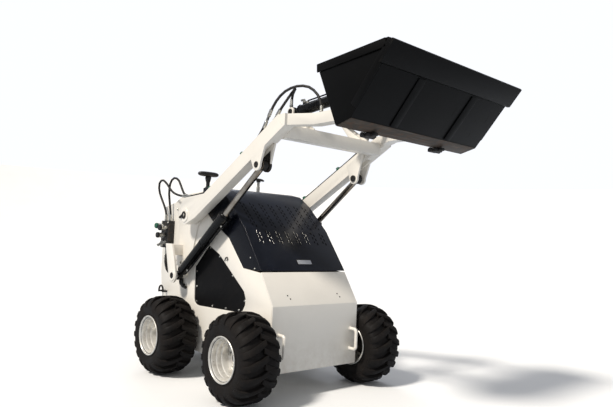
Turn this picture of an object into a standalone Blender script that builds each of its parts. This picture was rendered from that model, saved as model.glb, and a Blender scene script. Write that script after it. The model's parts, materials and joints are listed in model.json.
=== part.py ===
"""Compact stand-on skid steer loader with raised lift arms and a bucket.

Machine frame, in metres: +X forward, +Y to the machine's left, +Z up, ground at Z = 0 and
X = 0 midway between the axles. The whole machine hangs on one empty that is shifted along X,
so that the world origin is the bottom centre of the machine's box.
"""

import math

import bmesh
import bpy
from mathutils import Matrix, Vector

# ---------------------------------------------------------------- driving sizes
SEAT_GAP = 0.0003          # between pieces that touch
PIN_PLAY = 0.0005          # round a pin or a rod in its bore
RUNNING_GAP = 0.005        # between pieces that move past each other

TRACK_HALF = 0.445         # middle of a tyre from the centre plane
WHEELBASE = 0.784
TYRE_RADIUS = 0.2285
TYRE_WIDTH = 0.240
RIM_RADIUS = 0.1035        # bead seat
RIM_FLANGE_RADIUS = 0.1155
RIM_WIDTH = 0.228
RIM_WALL = 0.005
RIM_DISC_INSET = 0.100     # from the outer flange to the disc
HUB_RADIUS = 0.045
WHEEL_FACETS = 28          # shared by rim and tyre, so that they fit

BODY_HALF = 0.310          # outer face of the side frames
SIDE_WALL = 0.008
BELLY_HEIGHT = 0.138
NOSE_X = 0.467             # front panel
NOSE_TOP = 0.482
SLOPE_TOP_X = 0.356        # top edge of the sloped panel
SLOPE_TOP_Z = 0.651
PANEL_WALL = 0.008
BACK_X = -0.752            # rear edge of the side frames
REAR_PANEL_X = -0.655
CONSOLE_TOP = 1.098
CONSOLE_BEND = (-0.500, 1.078)         # x, z of the bend in the console's top

HOOD_WALL = 0.004
HOOD_REAR_X = -0.270
HOOD_TOP = 1.120

ARM_PIVOT = (-0.321, 0.948)            # x, z
ARM_OUTER = 0.399
ARM_INNER = 0.338
ARM_SLOPE = math.radians(29.5)
ARM_DEPTH = 0.079
ARM_DROP = 0.072                       # lower edge below the pivot, square to the arm
KNEE_TOP_X = 0.549
KNEE_BOTTOM_X = 0.586
FOREARM_TOP = 1.452
FOREARM_BOTTOM = 1.390
FOREARM_BEND_X = 0.724
FOREARM_OUTER = 0.310
FOREARM_INNER = 0.250
CROSS_TUBE = (0.512, 0.578, 1.336, 1.402)    # x from, to, z from, to

LIFT_BASE = (-0.428, 0.576)            # base pin of the lift cylinder
LIFT_EYE = (0.387, 1.208)              # rod pin of the lift cylinder
LIFT_Y = 0.355
LIFT_BARREL_RADIUS = 0.030
LIFT_BARREL_LENGTH = 0.607
LIFT_ROD_RADIUS = 0.0175
LIFT_ROD_LENGTH = 0.590

TOOL_PIVOT = (0.955, 1.395)            # lower pin of the bucket
TILT_BASE = (0.440, 1.507)             # base pin of the tilt cylinder
TILT_EYE = (0.868, 1.542)              # rod pin of the tilt cylinder
TILT_Y = 0.200
TILT_BARREL_RADIUS = 0.029
TILT_BARREL_LENGTH = 0.345
TILT_ROD_RADIUS = 0.014
TILT_ROD_LENGTH = 0.345
LIFT_PIN_RADIUS = 0.018
PIN_RADIUS = 0.0125
BIG_PIN_RADIUS = 0.022

ARM_TAIL = (-0.345, 1.052)             # top of the arm over its pivot
ARM_HEEL_X = -0.115                    # where the arm's upper edge starts to climb

COUPLER = (-0.700, -0.600, 0.740, 0.915)     # hydraulic outlet block: x from, to, z from, to
COUPLER_DEPTH = 0.042
HOSE_RADIUS = 0.007

BUCKET_HALF = 0.465
BUCKET_EDGE_HALF = 0.488
BUCKET_WALL = 0.008
BUCKET_BACK_TOP = (0.900, 1.613)
BUCKET_BACK_FOOT = (1.034, 1.322)
BUCKET_HEEL = (1.124, 1.346)
BUCKET_LIP = (1.353, 1.623)
BUCKET_CORNER = (1.312, 1.643)         # upper front corner of the side plates

PLATFORM_HINGE = (-0.690, 0.205)
PLATFORM_REAR_X = -1.000
PLATFORM_HALF = 0.255
PLATFORM_THICK = 0.030

LENGTH_MIDDLE = (BUCKET_LIP[0] + PLATFORM_REAR_X) / 2

RIGHT, LEFT = -1, 1


# ---------------------------------------------------------------- scene helpers
def clear_scene():
    for thing in list(bpy.data.objects):
        bpy.data.objects.remove(thing, do_unlink=True)


def material(name, colour, roughness, metallic=0.0):
    """Return a plain Principled material, made once."""
    found = bpy.data.materials.get(name)
    if found:
        return found
    made = bpy.data.materials.new(name)
    made.use_nodes = True
    shader = made.node_tree.nodes["Principled BSDF"]
    shader.inputs["Base Color"].default_value = (*colour, 1.0)
    shader.inputs["Roughness"].default_value = roughness
    shader.inputs["Metallic"].default_value = metallic
    made.diffuse_color = (*colour, 1.0)
    return made


def white_paint():
    return material("cream_paint", (0.84, 0.80, 0.71), 0.35)


def black_paint():
    return material("black_paint", (0.02, 0.021, 0.026), 0.3)


def bucket_paint():
    return material("bucket_paint", (0.012, 0.012, 0.012), 0.5)


def chrome():
    return material("chromed_rod", (0.55, 0.54, 0.52), 0.15, 1.0)


def zinc():
    return material("zinc_rim", (0.66, 0.65, 0.62), 0.3, 1.0)


def rubber():
    return material("tyre_rubber", (0.02, 0.02, 0.02), 0.8)


def black_plastic():
    return material("black_plastic", (0.015, 0.015, 0.016), 0.5)


def iron():
    return material("dark_iron", (0.09, 0.09, 0.09), 0.55, 0.6)


class Body:
    """An empty on a joint's axis, with the pieces that move together below it.

    pivot is (x, y, z) in the machine frame. turn tips the empty's +X up from the horizontal.
    """

    def __init__(self, name, pivot=(0, 0, 0), parent=None, turn=0.0):
        self.pivot = Vector(pivot)
        self.turn = turn
        self.empty = bpy.data.objects.new(name, None)
        self.empty.empty_display_size = 0.05
        bpy.context.scene.collection.objects.link(self.empty)
        offset = self.pivot - parent.pivot if parent else self.pivot
        if parent:
            self.empty.parent = parent.empty
            slope = parent.turn
            offset = Vector((offset.x * math.cos(slope) + offset.z * math.sin(slope), offset.y,
                             offset.z * math.cos(slope) - offset.x * math.sin(slope)))
        self.empty.location = offset
        self.empty.rotation_euler = (0, -(turn - (parent.turn if parent else 0.0)), 0)

    def add(self, name, mesh, finish):
        """Hang a mesh on this body; its points are in the machine frame, or along the empty
        where the body is turned."""
        if not self.turn:
            mesh.transform(matrix_move(-self.pivot))
        thing = bpy.data.objects.new(name, mesh)
        mesh.materials.append(finish)
        bpy.context.scene.collection.objects.link(thing)
        thing.parent = self.empty
        return thing


def matrix_move(offset):
    return Matrix.Translation(offset)


def as_mesh(bm, smooth=False):
    bmesh.ops.recalc_face_normals(bm, faces=bm.faces)
    mesh = bpy.data.meshes.new("shape")
    bm.to_mesh(mesh)
    bm.free()
    if smooth:
        mesh.shade_smooth()
        mesh.set_sharp_from_angle(angle=math.radians(35))
    return mesh


def prism(outline, y_from, y_to):
    """A closed outline in the XZ plane, drawn out along Y."""
    bm = bmesh.new()
    low, high = min(y_from, y_to), max(y_from, y_to)
    ring = [bm.verts.new((x, low, z)) for x, z in outline]
    face = bm.faces.new(ring)
    out = bmesh.ops.extrude_face_region(bm, geom=[face])
    moved = [item for item in out["geom"] if isinstance(item, bmesh.types.BMVert)]
    bmesh.ops.translate(bm, verts=moved, vec=(0, high - low, 0))
    return as_mesh(bm)


def slab(low, high):
    """A box between two corners."""
    return prism([(low[0], low[2]), (high[0], low[2]), (high[0], high[2]), (low[0], high[2])],
                 low[1], high[1])


def turned(profile, centre, side=1, segments=32):
    """A closed profile of (radius, y) turned about the line through centre along Y."""
    bm = bmesh.new()
    rings = []
    for radius, y in profile:
        if radius == 0:
            rings.append([bm.verts.new((centre[0], side * y, centre[1]))])
            continue
        angles = [math.tau * (i / segments) - math.pi / 2 for i in range(segments)]
        rings.append([bm.verts.new((centre[0] + radius * math.cos(a), side * y,
                                    centre[1] + radius * math.sin(a))) for a in angles])
    closed = profile[0][0] != 0 or profile[-1][0] != 0
    pairs = list(zip(rings, rings[1:])) + ([(rings[-1], rings[0])] if closed else [])
    for first, second in pairs:
        for i in range(segments):
            j = (i + 1) % segments
            corners = [first[i % len(first)], first[j % len(first)],
                       second[j % len(second)], second[i % len(second)]]
            bm.faces.new(list(dict.fromkeys(corners)))
    return as_mesh(bm, smooth=True)


def round_bar(points, radius, segments=12):
    """A round bar along a chain of points, mitred at its bends, with flat ends."""
    bm = bmesh.new()
    points = [Vector(p) for p in points]
    side = None
    rings = []
    for i, point in enumerate(points):
        before = (point - points[i - 1]).normalized() if i else None
        after = (points[i + 1] - point).normalized() if i + 1 < len(points) else None
        along = (before + after).normalized() if before and after else (after or before)
        stretch = 1 / along.dot(before or after)
        if side is None:
            side = along.orthogonal().normalized()
        side = (side - along * side.dot(along)).normalized()
        up = along.cross(side)
        bend = (after - before) if before and after else Vector()
        bend = bend.normalized() if bend.length > 1e-6 else None
        ring = []
        for k in range(segments):
            angle = math.tau * k / segments
            arm = (side * math.cos(angle) + up * math.sin(angle)) * radius
            if bend:
                arm += bend * arm.dot(bend) * (stretch - 1)
            ring.append(bm.verts.new(point + arm))
        rings.append(ring)
    for first, second in zip(rings, rings[1:]):
        for k in range(segments):
            j = (k + 1) % segments
            bm.faces.new([first[k], first[j], second[j], second[k]])
    bm.faces.new(rings[0])
    bm.faces.new(rings[-1])
    return as_mesh(bm, smooth=True)


def arc(centre, radius, start, end, steps):
    """Points on an arc, angles in degrees, from +X towards +Z."""
    angles = [math.radians(start + (end - start) * i / steps) for i in range(steps + 1)]
    return [(centre[0] + radius * math.cos(a), centre[1] + radius * math.sin(a)) for a in angles]


def inset_path(path, distance):
    """The open path moved to its right-hand side by a distance, with mitred corners."""
    moved = []
    for i, (x, z) in enumerate(path):
        before = Vector(path[i]) - Vector(path[i - 1]) if i else None
        after = Vector(path[i + 1]) - Vector(path[i]) if i + 1 < len(path) else None
        sides = [Vector((v.y, -v.x)).normalized() for v in (before, after) if v]
        normal = sum(sides, Vector((0, 0))).normalized()
        reach = distance / normal.dot(sides[0])
        moved.append((x + normal.x * reach, z + normal.y * reach))
    return moved


def as_cutter(thing):
    thing.hide_render = True
    thing.display_type = "WIRE"
    return thing


def boolean(target, other, operation):
    as_cutter(other)
    step = target.modifiers.new(operation.lower(), "BOOLEAN")
    step.operation = operation
    step.solver = "EXACT"
    step.object = other


def cut(body, target, mesh):
    boolean(target, body.add(target.name + "_cut", mesh, target.data.materials[0]), "DIFFERENCE")


def weld(body, target, mesh):
    boolean(target, body.add(target.name + "_weld", mesh, target.data.materials[0]), "UNION")


def side_name(side):
    return "left" if side == LEFT else "right"


# ---------------------------------------------------------------- chassis
GRILLE_OPENING = [(-0.317, 0.640), (-0.309, 0.445), (-0.300, 0.424), (-0.280, 0.412),
                  (-0.246, 0.408), (0.164, 0.418), (0.204, 0.432), (0.224, 0.464),
                  (0.226, 0.500), (0.208, 0.536), (-0.056, 0.726), (-0.170, 0.774)]
HOOD_LOWER_EDGE = [(0.190, 0.662), (0.037, 0.821), (-0.147, 0.919), (-0.213, 0.972)]


def nose_profile(depth):
    """The nose and slope, from the bottom up, moved inwards by a depth."""
    outer = [(NOSE_X, BELLY_HEIGHT), (NOSE_X, NOSE_TOP), (SLOPE_TOP_X, SLOPE_TOP_Z)]
    return inset_path(outer[::-1], depth)[::-1] if depth else outer


def side_frame_outline():
    front = nose_profile(PANEL_WALL + SEAT_GAP)
    hood_seat = [(x, z - PIN_PLAY) for x, z in HOOD_LOWER_EDGE]
    return (front + hood_seat
            + [(HOOD_REAR_X - RUNNING_GAP, 1.012), (HOOD_REAR_X - RUNNING_GAP, CONSOLE_TOP),
               (-0.500, 1.083), (-0.605, 1.036), (-0.745, 1.008), (BACK_X, 0.850),
               (BACK_X, 0.590), (-0.730, 0.450), (-0.660, 0.200), (-0.620, BELLY_HEIGHT)])


def make_side_frame(chassis, side):
    name = side_name(side) + "_side_frame"
    frame = chassis.add(name, prism(side_frame_outline(), side * BODY_HALF,
                                    side * (BODY_HALF - SIDE_WALL)), white_paint())
    cut(chassis, frame, prism(GRILLE_OPENING, side * (BODY_HALF + 0.02),
                              side * (BODY_HALF - SIDE_WALL - 0.02)))


def make_side_grille(chassis, side):
    """A perforated sheet behind the opening, lapping its edge all round."""
    lap = 0.012
    centre = Vector((-0.05, 0.57))
    outline = []
    for point in GRILLE_OPENING:
        away = Vector(point) - centre
        outline.append(tuple(Vector(point) + away.normalized() * lap))
    outer = BODY_HALF - SIDE_WALL - SEAT_GAP
    chassis.add(side_name(side) + "_side_grille",
                prism(outline, side * outer, side * (outer - 0.003)), black_paint())


def make_front_panel(chassis):
    """One bent sheet: the upright nose and the slope up to the hood."""
    outline = nose_profile(0) + nose_profile(PANEL_WALL)[::-1]
    chassis.add("front_panel", prism(outline, -BODY_HALF, BODY_HALF), white_paint())


def make_belly_pan(chassis):
    inside = BODY_HALF - SIDE_WALL - SEAT_GAP
    chassis.add("belly_pan", slab((-0.600, -inside, BELLY_HEIGHT),
                                  (NOSE_X - PANEL_WALL - SEAT_GAP, inside, BELLY_HEIGHT + 0.008)),
                white_paint())


def make_rear_panel(chassis):
    """The upright wall that the operator faces, with ears for the platform's hinge."""
    inside = BODY_HALF - SIDE_WALL - SEAT_GAP
    panel = chassis.add("rear_panel", slab((REAR_PANEL_X, -inside, 0.160),
                                           (REAR_PANEL_X + 0.008, inside, 1.010)), white_paint())
    x, z = PLATFORM_HINGE
    ear = [(REAR_PANEL_X + 0.004, z - 0.03), (REAR_PANEL_X + 0.004, z + 0.03)] \
        + arc((x, z), 0.016, 90, 270, 8)
    for side in (RIGHT, LEFT):
        weld(chassis, panel, prism(ear, side * (PLATFORM_HALF + 0.006),
                                   side * (PLATFORM_HALF + 0.016)))
        weld(chassis, panel, turned([(0, PLATFORM_HALF - 0.030), (0.008, PLATFORM_HALF - 0.030),
                                     (0.008, PLATFORM_HALF + 0.010), (0, PLATFORM_HALF + 0.010)],
                                    (x, z), side, 16))


def make_console(chassis):
    """The control console: a bent sheet that closes the top behind the hood."""
    outer = [(-0.648, 1.020), (-0.605, 1.031), CONSOLE_BEND,
             (HOOD_REAR_X - RUNNING_GAP, CONSOLE_TOP - 0.005)]
    inner = inset_path(outer, 0.006)
    inside = BODY_HALF - SIDE_WALL - SEAT_GAP
    front = [(HOOD_REAR_X - RUNNING_GAP, 0.960), (HOOD_REAR_X - RUNNING_GAP - 0.006, 0.960)]
    outline = outer + front + [(HOOD_REAR_X - RUNNING_GAP - 0.006, inner[-1][1])] \
        + inner[:-1][::-1]
    chassis.add("control_console", prism(outline, -inside, inside), white_paint())


def make_engine(chassis):
    floor = BELLY_HEIGHT + 0.008 + SEAT_GAP
    chassis.add("engine_block", slab((-0.120, -0.190, floor), (0.320, 0.190, 0.560)), iron())


def make_tower_plate(chassis, side):
    """A doubler on the side frame that carries the pivot pin of the lift arm."""
    x, z = ARM_PIVOT
    outline = [(-0.565, 0.638), (-0.374, 0.638), (-0.347, 0.722), (-0.300, 0.880)] \
        + arc((x, z), 0.052, -40, 90, 8) \
        + [(-0.400, 1.035), (-0.576, 1.030), (-0.529, 0.882), (-0.535, 0.733), (-0.571, 0.685)]
    inner = BODY_HALF + SEAT_GAP
    plate = chassis.add(side_name(side) + "_tower_plate",
                        prism(outline, side * inner, side * (inner + 0.008)), white_paint())
    weld(chassis, plate, turned([(0, inner + 0.001), (BIG_PIN_RADIUS, inner + 0.001),
                                 (BIG_PIN_RADIUS, ARM_OUTER + 0.008), (0, ARM_OUTER + 0.008)],
                                ARM_PIVOT, side, 24))


def make_cylinder_lug(chassis, side):
    """The outer bar that holds the base pin of the lift cylinder, with its spacer and pin."""
    x, z = LIFT_BASE
    outline = arc((x, z), 0.044, -160, 20, 12) + [(-0.407, 0.660), (-0.450, 0.770),
                                                  (-0.532, 0.770), (-0.518, 0.720)]
    lug = chassis.add(side_name(side) + "_cylinder_lug",
                      prism(outline, side * 0.391, side * 0.403), white_paint())
    base = BODY_HALF + SEAT_GAP + 0.008 + SEAT_GAP
    weld(chassis, lug, slab((-0.520, min(side * base, side * 0.395), 0.700),
                            (-0.462, max(side * base, side * 0.395), 0.765)))
    weld(chassis, lug, turned([(0, BODY_HALF + SEAT_GAP),
                               (LIFT_PIN_RADIUS, BODY_HALF + SEAT_GAP),
                               (LIFT_PIN_RADIUS, 0.407), (0, 0.407)], LIFT_BASE, side, 20))


def make_front_handle(chassis, side):
    """A bent round bar to pull on, standing off the nose."""
    y, low, high, reach, bend = side * 0.262, 0.224, 0.336, 0.046, 0.016
    x = NOSE_X + SEAT_GAP
    path = [(x, y, low), (x + reach - bend, y, low)]
    path += [(px, y, pz) for px, pz in arc((x + reach - bend, low + bend), bend, -70, 0, 3)]
    path += [(px, y, pz) for px, pz in arc((x + reach - bend, high - bend), bend, 0, 90, 3)]
    path += [(x, y, high)]
    chassis.add(side_name(side) + "_front_handle", round_bar(path, 0.009), white_paint())


def make_drive_hub(chassis, end, side):
    """A hub motor on the side frame, ending at the wheel's disc."""
    x = WHEELBASE / 2 * (1 if end == "front" else -1)
    start = BODY_HALF + SEAT_GAP
    finish = disc_inner_y() - SEAT_GAP
    profile = [(0, start), (0.072, start), (0.072, start + 0.020), (HUB_RADIUS, start + 0.024),
               (HUB_RADIUS, finish - 0.02), (0.060, finish - 0.018), (0.060, finish), (0, finish)]
    chassis.add(f"{end}_{side_name(side)}_drive_hub",
                turned(profile, (x, TYRE_RADIUS), side, 20), iron())


def make_control_lever(chassis, side):
    """A drive lever: a post on a boot, with a wide palm grip across it."""
    name = side_name(side) + "_control_lever"
    x, y = -0.400, side * 0.200
    rise = (CONSOLE_TOP - 0.005 - CONSOLE_BEND[1]) / (HOOD_REAR_X - RUNNING_GAP - CONSOLE_BEND[0])
    foot = CONSOLE_BEND[1] + rise * (x + 0.035 - CONSOLE_BEND[0]) + SEAT_GAP
    post = chassis.add(name, round_bar([(x, y, foot), (x, y, 1.215)], 0.012), black_plastic())
    weld(chassis, post, round_bar([(x, y, foot), (x, y, foot + 0.020)], 0.035, 20))
    weld(chassis, post, round_bar([(x, y - 0.075, 1.222), (x, y - 0.06, 1.222),
                                   (x, y + 0.06, 1.222), (x, y + 0.075, 1.222)], 0.017, 16))


def make_coupler_block(chassis):
    """The hydraulic outlet block for tools, on the right side of the tower."""
    y = BODY_HALF + SEAT_GAP
    x_from, x_to, z_from, z_to = COUPLER
    chassis.add("coupler_block", slab((x_from, -y - COUPLER_DEPTH, z_from), (x_to, -y, z_to)),
                iron())


def make_tie_ring(chassis, side):
    """A lashing ring welded on the side frame above the rear tyre."""
    y = BODY_HALF + SEAT_GAP
    x, z, size = -0.680, 0.455, 0.026
    path = [(x - size, side * y, z), (x - size, side * (y + 0.03), z)]
    path += [(px, side * (y + 0.03), pz) for px, pz in arc((x, z + 0.01), size, 180, 0, 6)]
    path += [(x + size, side * (y + 0.03), z), (x + size, side * y, z)]
    chassis.add(side_name(side) + "_tie_ring", round_bar(path, 0.006, 8), iron())


def make_rear_pad(chassis):
    """The cushion that the operator leans on, against the rear panel."""
    back = REAR_PANEL_X - SEAT_GAP
    pad = chassis.add("rear_pad", slab((back - 0.045, -0.210, 0.620), (back, 0.210, 0.930)),
                      black_plastic())
    bevel = pad.modifiers.new("round", "BEVEL")
    bevel.width = 0.015
    bevel.segments = 3


# ---------------------------------------------------------------- wheels
def disc_inner_y():
    return TRACK_HALF + RIM_WIDTH / 2 - RIM_DISC_INSET - 0.007


def make_wheel(chassis, end, side):
    x = WHEELBASE / 2 * (1 if end == "front" else -1)
    wheel = Body(f"{end}_{side_name(side)}_wheel_axis", (x, side * TRACK_HALF, TYRE_RADIUS),
                 chassis)
    place = f"{end}_{side_name(side)}_"
    centre = (x, TYRE_RADIUS)

    half, flange, wall = RIM_WIDTH / 2, RIM_FLANGE_RADIUS, RIM_WALL
    disc = disc_inner_y() - TRACK_HALF
    inner = RIM_RADIUS - wall
    rim = [(0, disc + 0.024), (0.030, disc + 0.024), (0.034, disc + 0.007),
           (inner - 0.008, disc + 0.007), (inner, disc + 0.018), (inner, half - 0.012),
           (flange - 0.006, half), (flange, half), (flange, half - wall),
           (RIM_RADIUS, half - 0.008), (RIM_RADIUS, 0.008 - half), (flange, wall - half),
           (flange, -half), (flange - 0.006, -half), (inner, 0.012 - half),
           (inner, disc - 0.006), (inner - 0.010, disc), (0, disc)]
    profile = [(r, TRACK_HALF + y) for r, y in rim]
    wheel.add(place + "rim", turned(profile, centre, side, WHEEL_FACETS),
              zinc())

    seat = RIM_RADIUS + SEAT_GAP
    wide = TYRE_WIDTH / 2
    side_wall = [(seat, half - 0.0095), (flange + 0.003, half - 0.0075),
                 (flange + 0.014, wide - 0.010), (0.165, wide), (0.196, wide - 0.004),
                 (0.216, wide - 0.016), (TYRE_RADIUS, wide - 0.034)]
    tyre = [(r, y) for r, y in side_wall] + [(r, -y) for r, y in side_wall[::-1]]
    profile = [(r, TRACK_HALF + y) for r, y in tyre]
    wheel.add(place + "tyre", turned(profile, centre, side, WHEEL_FACETS), rubber())


# ---------------------------------------------------------------- hood
def make_hood(chassis):
    """A bent sheet cover with side walls, hinged at its front lower edge."""
    hood = Body("hood_hinge", (SLOPE_TOP_X, 0, SLOPE_TOP_Z), chassis)
    top = [(SLOPE_TOP_X, SLOPE_TOP_Z + RUNNING_GAP), (0.257, 0.788), (0.183, 0.886),
           (0.018, 1.038), (-0.037, 1.074), (-0.082, 1.104), (-0.167, HOOD_TOP),
           (HOOD_REAR_X, HOOD_TOP)]
    lower = HOOD_LOWER_EDGE[::-1]
    outline = top + [(HOOD_REAR_X, 1.017)] + lower
    shell = hood.add("hood", prism(outline, -BODY_HALF, BODY_HALF), black_paint())
    inner = inset_path(top[::-1], HOOD_WALL)[::-1]
    inside = [(inner[0][0] + 0.05, inner[0][1] - 0.09)] + inner[1:-1] \
        + [(HOOD_REAR_X - 0.05, inner[-1][1]), (HOOD_REAR_X - 0.05, 0.500)]
    reach = BODY_HALF - HOOD_WALL
    cut(hood, shell, prism(inside, -reach, reach))


# ---------------------------------------------------------------- lift arms
def along_arm(distance, lift):
    """A point on the arm's side, from the pivot: along the arm, and square to it."""
    c, s = math.cos(ARM_SLOPE), math.sin(ARM_SLOPE)
    return (ARM_PIVOT[0] + distance * c - lift * s, ARM_PIVOT[1] + distance * s + lift * c)


def arm_edge_at(x, lift):
    """The point at x on the line that runs parallel to the arm at a given lift."""
    c, s = math.cos(ARM_SLOPE), math.sin(ARM_SLOPE)
    start = along_arm(0, lift)
    distance = (x - start[0]) / c
    return (x, start[1] + distance * s)


def make_lift_arm(arms, side):
    """A box tube from the pivot to the knee, and a forearm that bends in to the bucket."""
    low, high = -ARM_DROP, ARM_DEPTH - ARM_DROP
    hub = 0.056
    tube = [arm_edge_at(ARM_HEEL_X, high), arm_edge_at(KNEE_TOP_X, high),
            (KNEE_TOP_X + 0.006, FOREARM_TOP - 0.006), (KNEE_BOTTOM_X + 0.020, FOREARM_TOP - 0.004),
            (KNEE_BOTTOM_X + 0.020, FOREARM_BOTTOM), arm_edge_at(KNEE_BOTTOM_X, low),
            arm_edge_at(-0.202, low)] \
        + arc(ARM_PIVOT, hub, -60, -180, 10) \
        + [(ARM_TAIL[0] - 0.036, ARM_TAIL[1] - 0.042), ARM_TAIL]
    arm = arms.add(side_name(side) + "_lift_arm",
                   prism(tube, side * ARM_INNER, side * ARM_OUTER), white_paint())

    # forearm: from the knee inwards, then straight ahead to the bucket's pin
    knee = CROSS_TUBE[1] + 0.003
    tip = TOOL_PIVOT[0] - 0.050
    plan = [(knee, ARM_OUTER), (FOREARM_BEND_X, FOREARM_OUTER),
            (tip, FOREARM_OUTER), (tip, FOREARM_INNER),
            (FOREARM_BEND_X - 0.010, FOREARM_INNER), (knee, ARM_INNER)]
    weld(arms, arm, plan_prism([(x, side * y) for x, y in plan], FOREARM_BOTTOM + 0.001,
                               FOREARM_TOP - 0.005))
    nose = arc(TOOL_PIVOT, 0.024, -110, 60, 12) \
        + [(TOOL_PIVOT[0] - 0.024, FOREARM_TOP - 0.0055), (tip - 0.02, FOREARM_TOP - 0.0055),
           (tip - 0.02, FOREARM_BOTTOM + 0.0015)]
    weld(arms, arm, prism(nose, side * (FOREARM_INNER + 0.0005), side * (FOREARM_OUTER - 0.0005)))

    # ears for the rod pin of the lift cylinder
    x, z = LIFT_EYE
    for outer, inner, top in ((ARM_OUTER, ARM_OUTER - 0.012, 0.020), (0.334, 0.322, 0.050)):
        ear = arc((x, z), 0.032, -160, 10, 10) + [arm_edge_at(x + 0.075, low + top),
                                                  arm_edge_at(x - 0.060, low + top)]
        weld(arms, arm, prism(ear, side * outer, side * inner))
    spacer = [arm_edge_at(x - 0.055, low + 0.026), arm_edge_at(x + 0.060, low + 0.026),
              arm_edge_at(x + 0.060, low + 0.048), arm_edge_at(x - 0.055, low + 0.048)]
    weld(arms, arm, prism(spacer, side * 0.330, side * (ARM_INNER + 0.004)))
    # notch that takes the rod's eye when the arms are down
    notch = [arm_edge_at(x - 0.035, low - 0.01), arm_edge_at(x + 0.090, low - 0.01),
             arm_edge_at(x + 0.090, low + 0.022), arm_edge_at(x - 0.035, low + 0.022)]
    cut(arms, arm, prism(notch, side * 0.3345, side * 0.3745))

    # bore for the pivot pin, and a thick boss reaching in towards the side frame
    inner_face = BODY_HALF + SEAT_GAP + 0.008 + RUNNING_GAP
    weld(arms, arm, turned([(0, inner_face), (hub - 0.004, inner_face),
                            (hub - 0.004, ARM_INNER + 0.005), (0, ARM_INNER + 0.005)],
                           ARM_PIVOT, side, 32))
    bore = BIG_PIN_RADIUS + PIN_PLAY
    cut(arms, arm, turned([(0, 0.300), (bore, 0.300), (bore, 0.420), (0, 0.420)],
                          ARM_PIVOT, side, 24))
    bore = PIN_RADIUS + PIN_PLAY
    cut(arms, arm, turned([(0, 0.230), (bore, 0.230), (bore, 0.340), (0, 0.340)],
                          TOOL_PIVOT, side, 20))


def plan_prism(outline, z_from, z_to):
    """A closed outline in the XY plane, drawn out along Z."""
    bm = bmesh.new()
    face = bm.faces.new([bm.verts.new((x, y, z_from)) for x, y in outline])
    out = bmesh.ops.extrude_face_region(bm, geom=[face])
    moved = [item for item in out["geom"] if isinstance(item, bmesh.types.BMVert)]
    bmesh.ops.translate(bm, verts=moved, vec=(0, 0, z_to - z_from))
    return as_mesh(bm)


def make_cross_tube(arms):
    """The tube between the arms, with two pairs of lugs for the tilt cylinders."""
    x_from, x_to, z_from, z_to = CROSS_TUBE
    inside = ARM_INNER - SEAT_GAP
    tube = arms.add("arm_cross_tube", slab((x_from, -inside, z_from), (x_to, inside, z_to)),
                    white_paint())
    x, z = TILT_BASE
    lug = [(x_from + 0.006, z_from + 0.01), (x_to - 0.002, z_from + 0.01),
           (x_to - 0.002, z_to + 0.004)] + arc((x, z), 0.025, -60, 200, 12) \
        + [(x_from + 0.006, z_to - 0.02)]
    for side in (RIGHT, LEFT):
        for offset in (-0.031, 0.021):
            y = side * TILT_Y + offset
            weld(arms, tube, prism(lug, y, y + 0.010))
        weld(arms, tube, turned([(0, TILT_Y - 0.0305), (PIN_RADIUS, TILT_Y - 0.0305),
                                 (PIN_RADIUS, TILT_Y + 0.0305), (0, TILT_Y + 0.0305)],
                                TILT_BASE, side, 20))


# ---------------------------------------------------------------- cylinders
def make_cylinder(parent, name, side, base, eye, y, barrel, rod):
    """A hydraulic cylinder: its barrel turns on the base pin, and its rod slides out."""
    radius, length, wall = barrel
    rod_radius, rod_length = rod
    run = Vector(eye) - Vector(base)
    slope = math.atan2(run.y, run.x)
    swing = Body(f"{side_name(side)}_{name}_cylinder_axis", (base[0], side * y, base[1]),
                 parent, slope)
    eye_width = radius * 0.9
    tube = swing.add(f"{side_name(side)}_{name}_barrel",
                     round_bar([(0.050, 0, 0), (length - 0.030, 0, 0)], radius, 16),
                     black_paint())
    weld(swing, tube, local_ring(0, radius - 0.002, eye_width / 2))
    weld(swing, tube, round_bar([(0.010, 0, 0), (0.054, 0, 0)], radius * 0.62, 16))
    weld(swing, tube, round_bar([(length - 0.035, 0, 0), (length, 0, 0)], radius + 0.002, 16))
    port = round_bar([(0.080, 0, 0), (0.080, 0, radius + 0.014)], 0.009, 10)
    weld(swing, tube, port)
    closed_tail = wall
    cut(swing, tube, round_bar([(closed_tail, 0, 0), (length + 0.05, 0, 0)],
                               rod_radius + PIN_PLAY + 0.0001, 16))
    pin = (LIFT_PIN_RADIUS if name == "lift" else PIN_RADIUS) + PIN_PLAY
    cut(swing, tube, local_ring(0, pin, 0.05))

    slide = Body(f"{side_name(side)}_{name}_rod_axis", (eye[0], side * y, eye[1]), swing, slope)
    shaft = slide.add(f"{side_name(side)}_{name}_rod",
                      round_bar([(-rod_length, 0, 0), (-0.015, 0, 0)], rod_radius, 16), chrome())
    eye_radius = 0.028 if name == "lift" else 0.026
    weld(slide, shaft, local_ring(0, eye_radius, 0.014))
    cut(slide, shaft, local_ring(0, pin, 0.05))


def local_ring(x, radius, half_width, segments=18):
    """A short round bar across a cylinder's axis, at a distance along it."""
    return round_bar([(x, -half_width, 0), (x, half_width, 0)], radius, segments)


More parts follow.
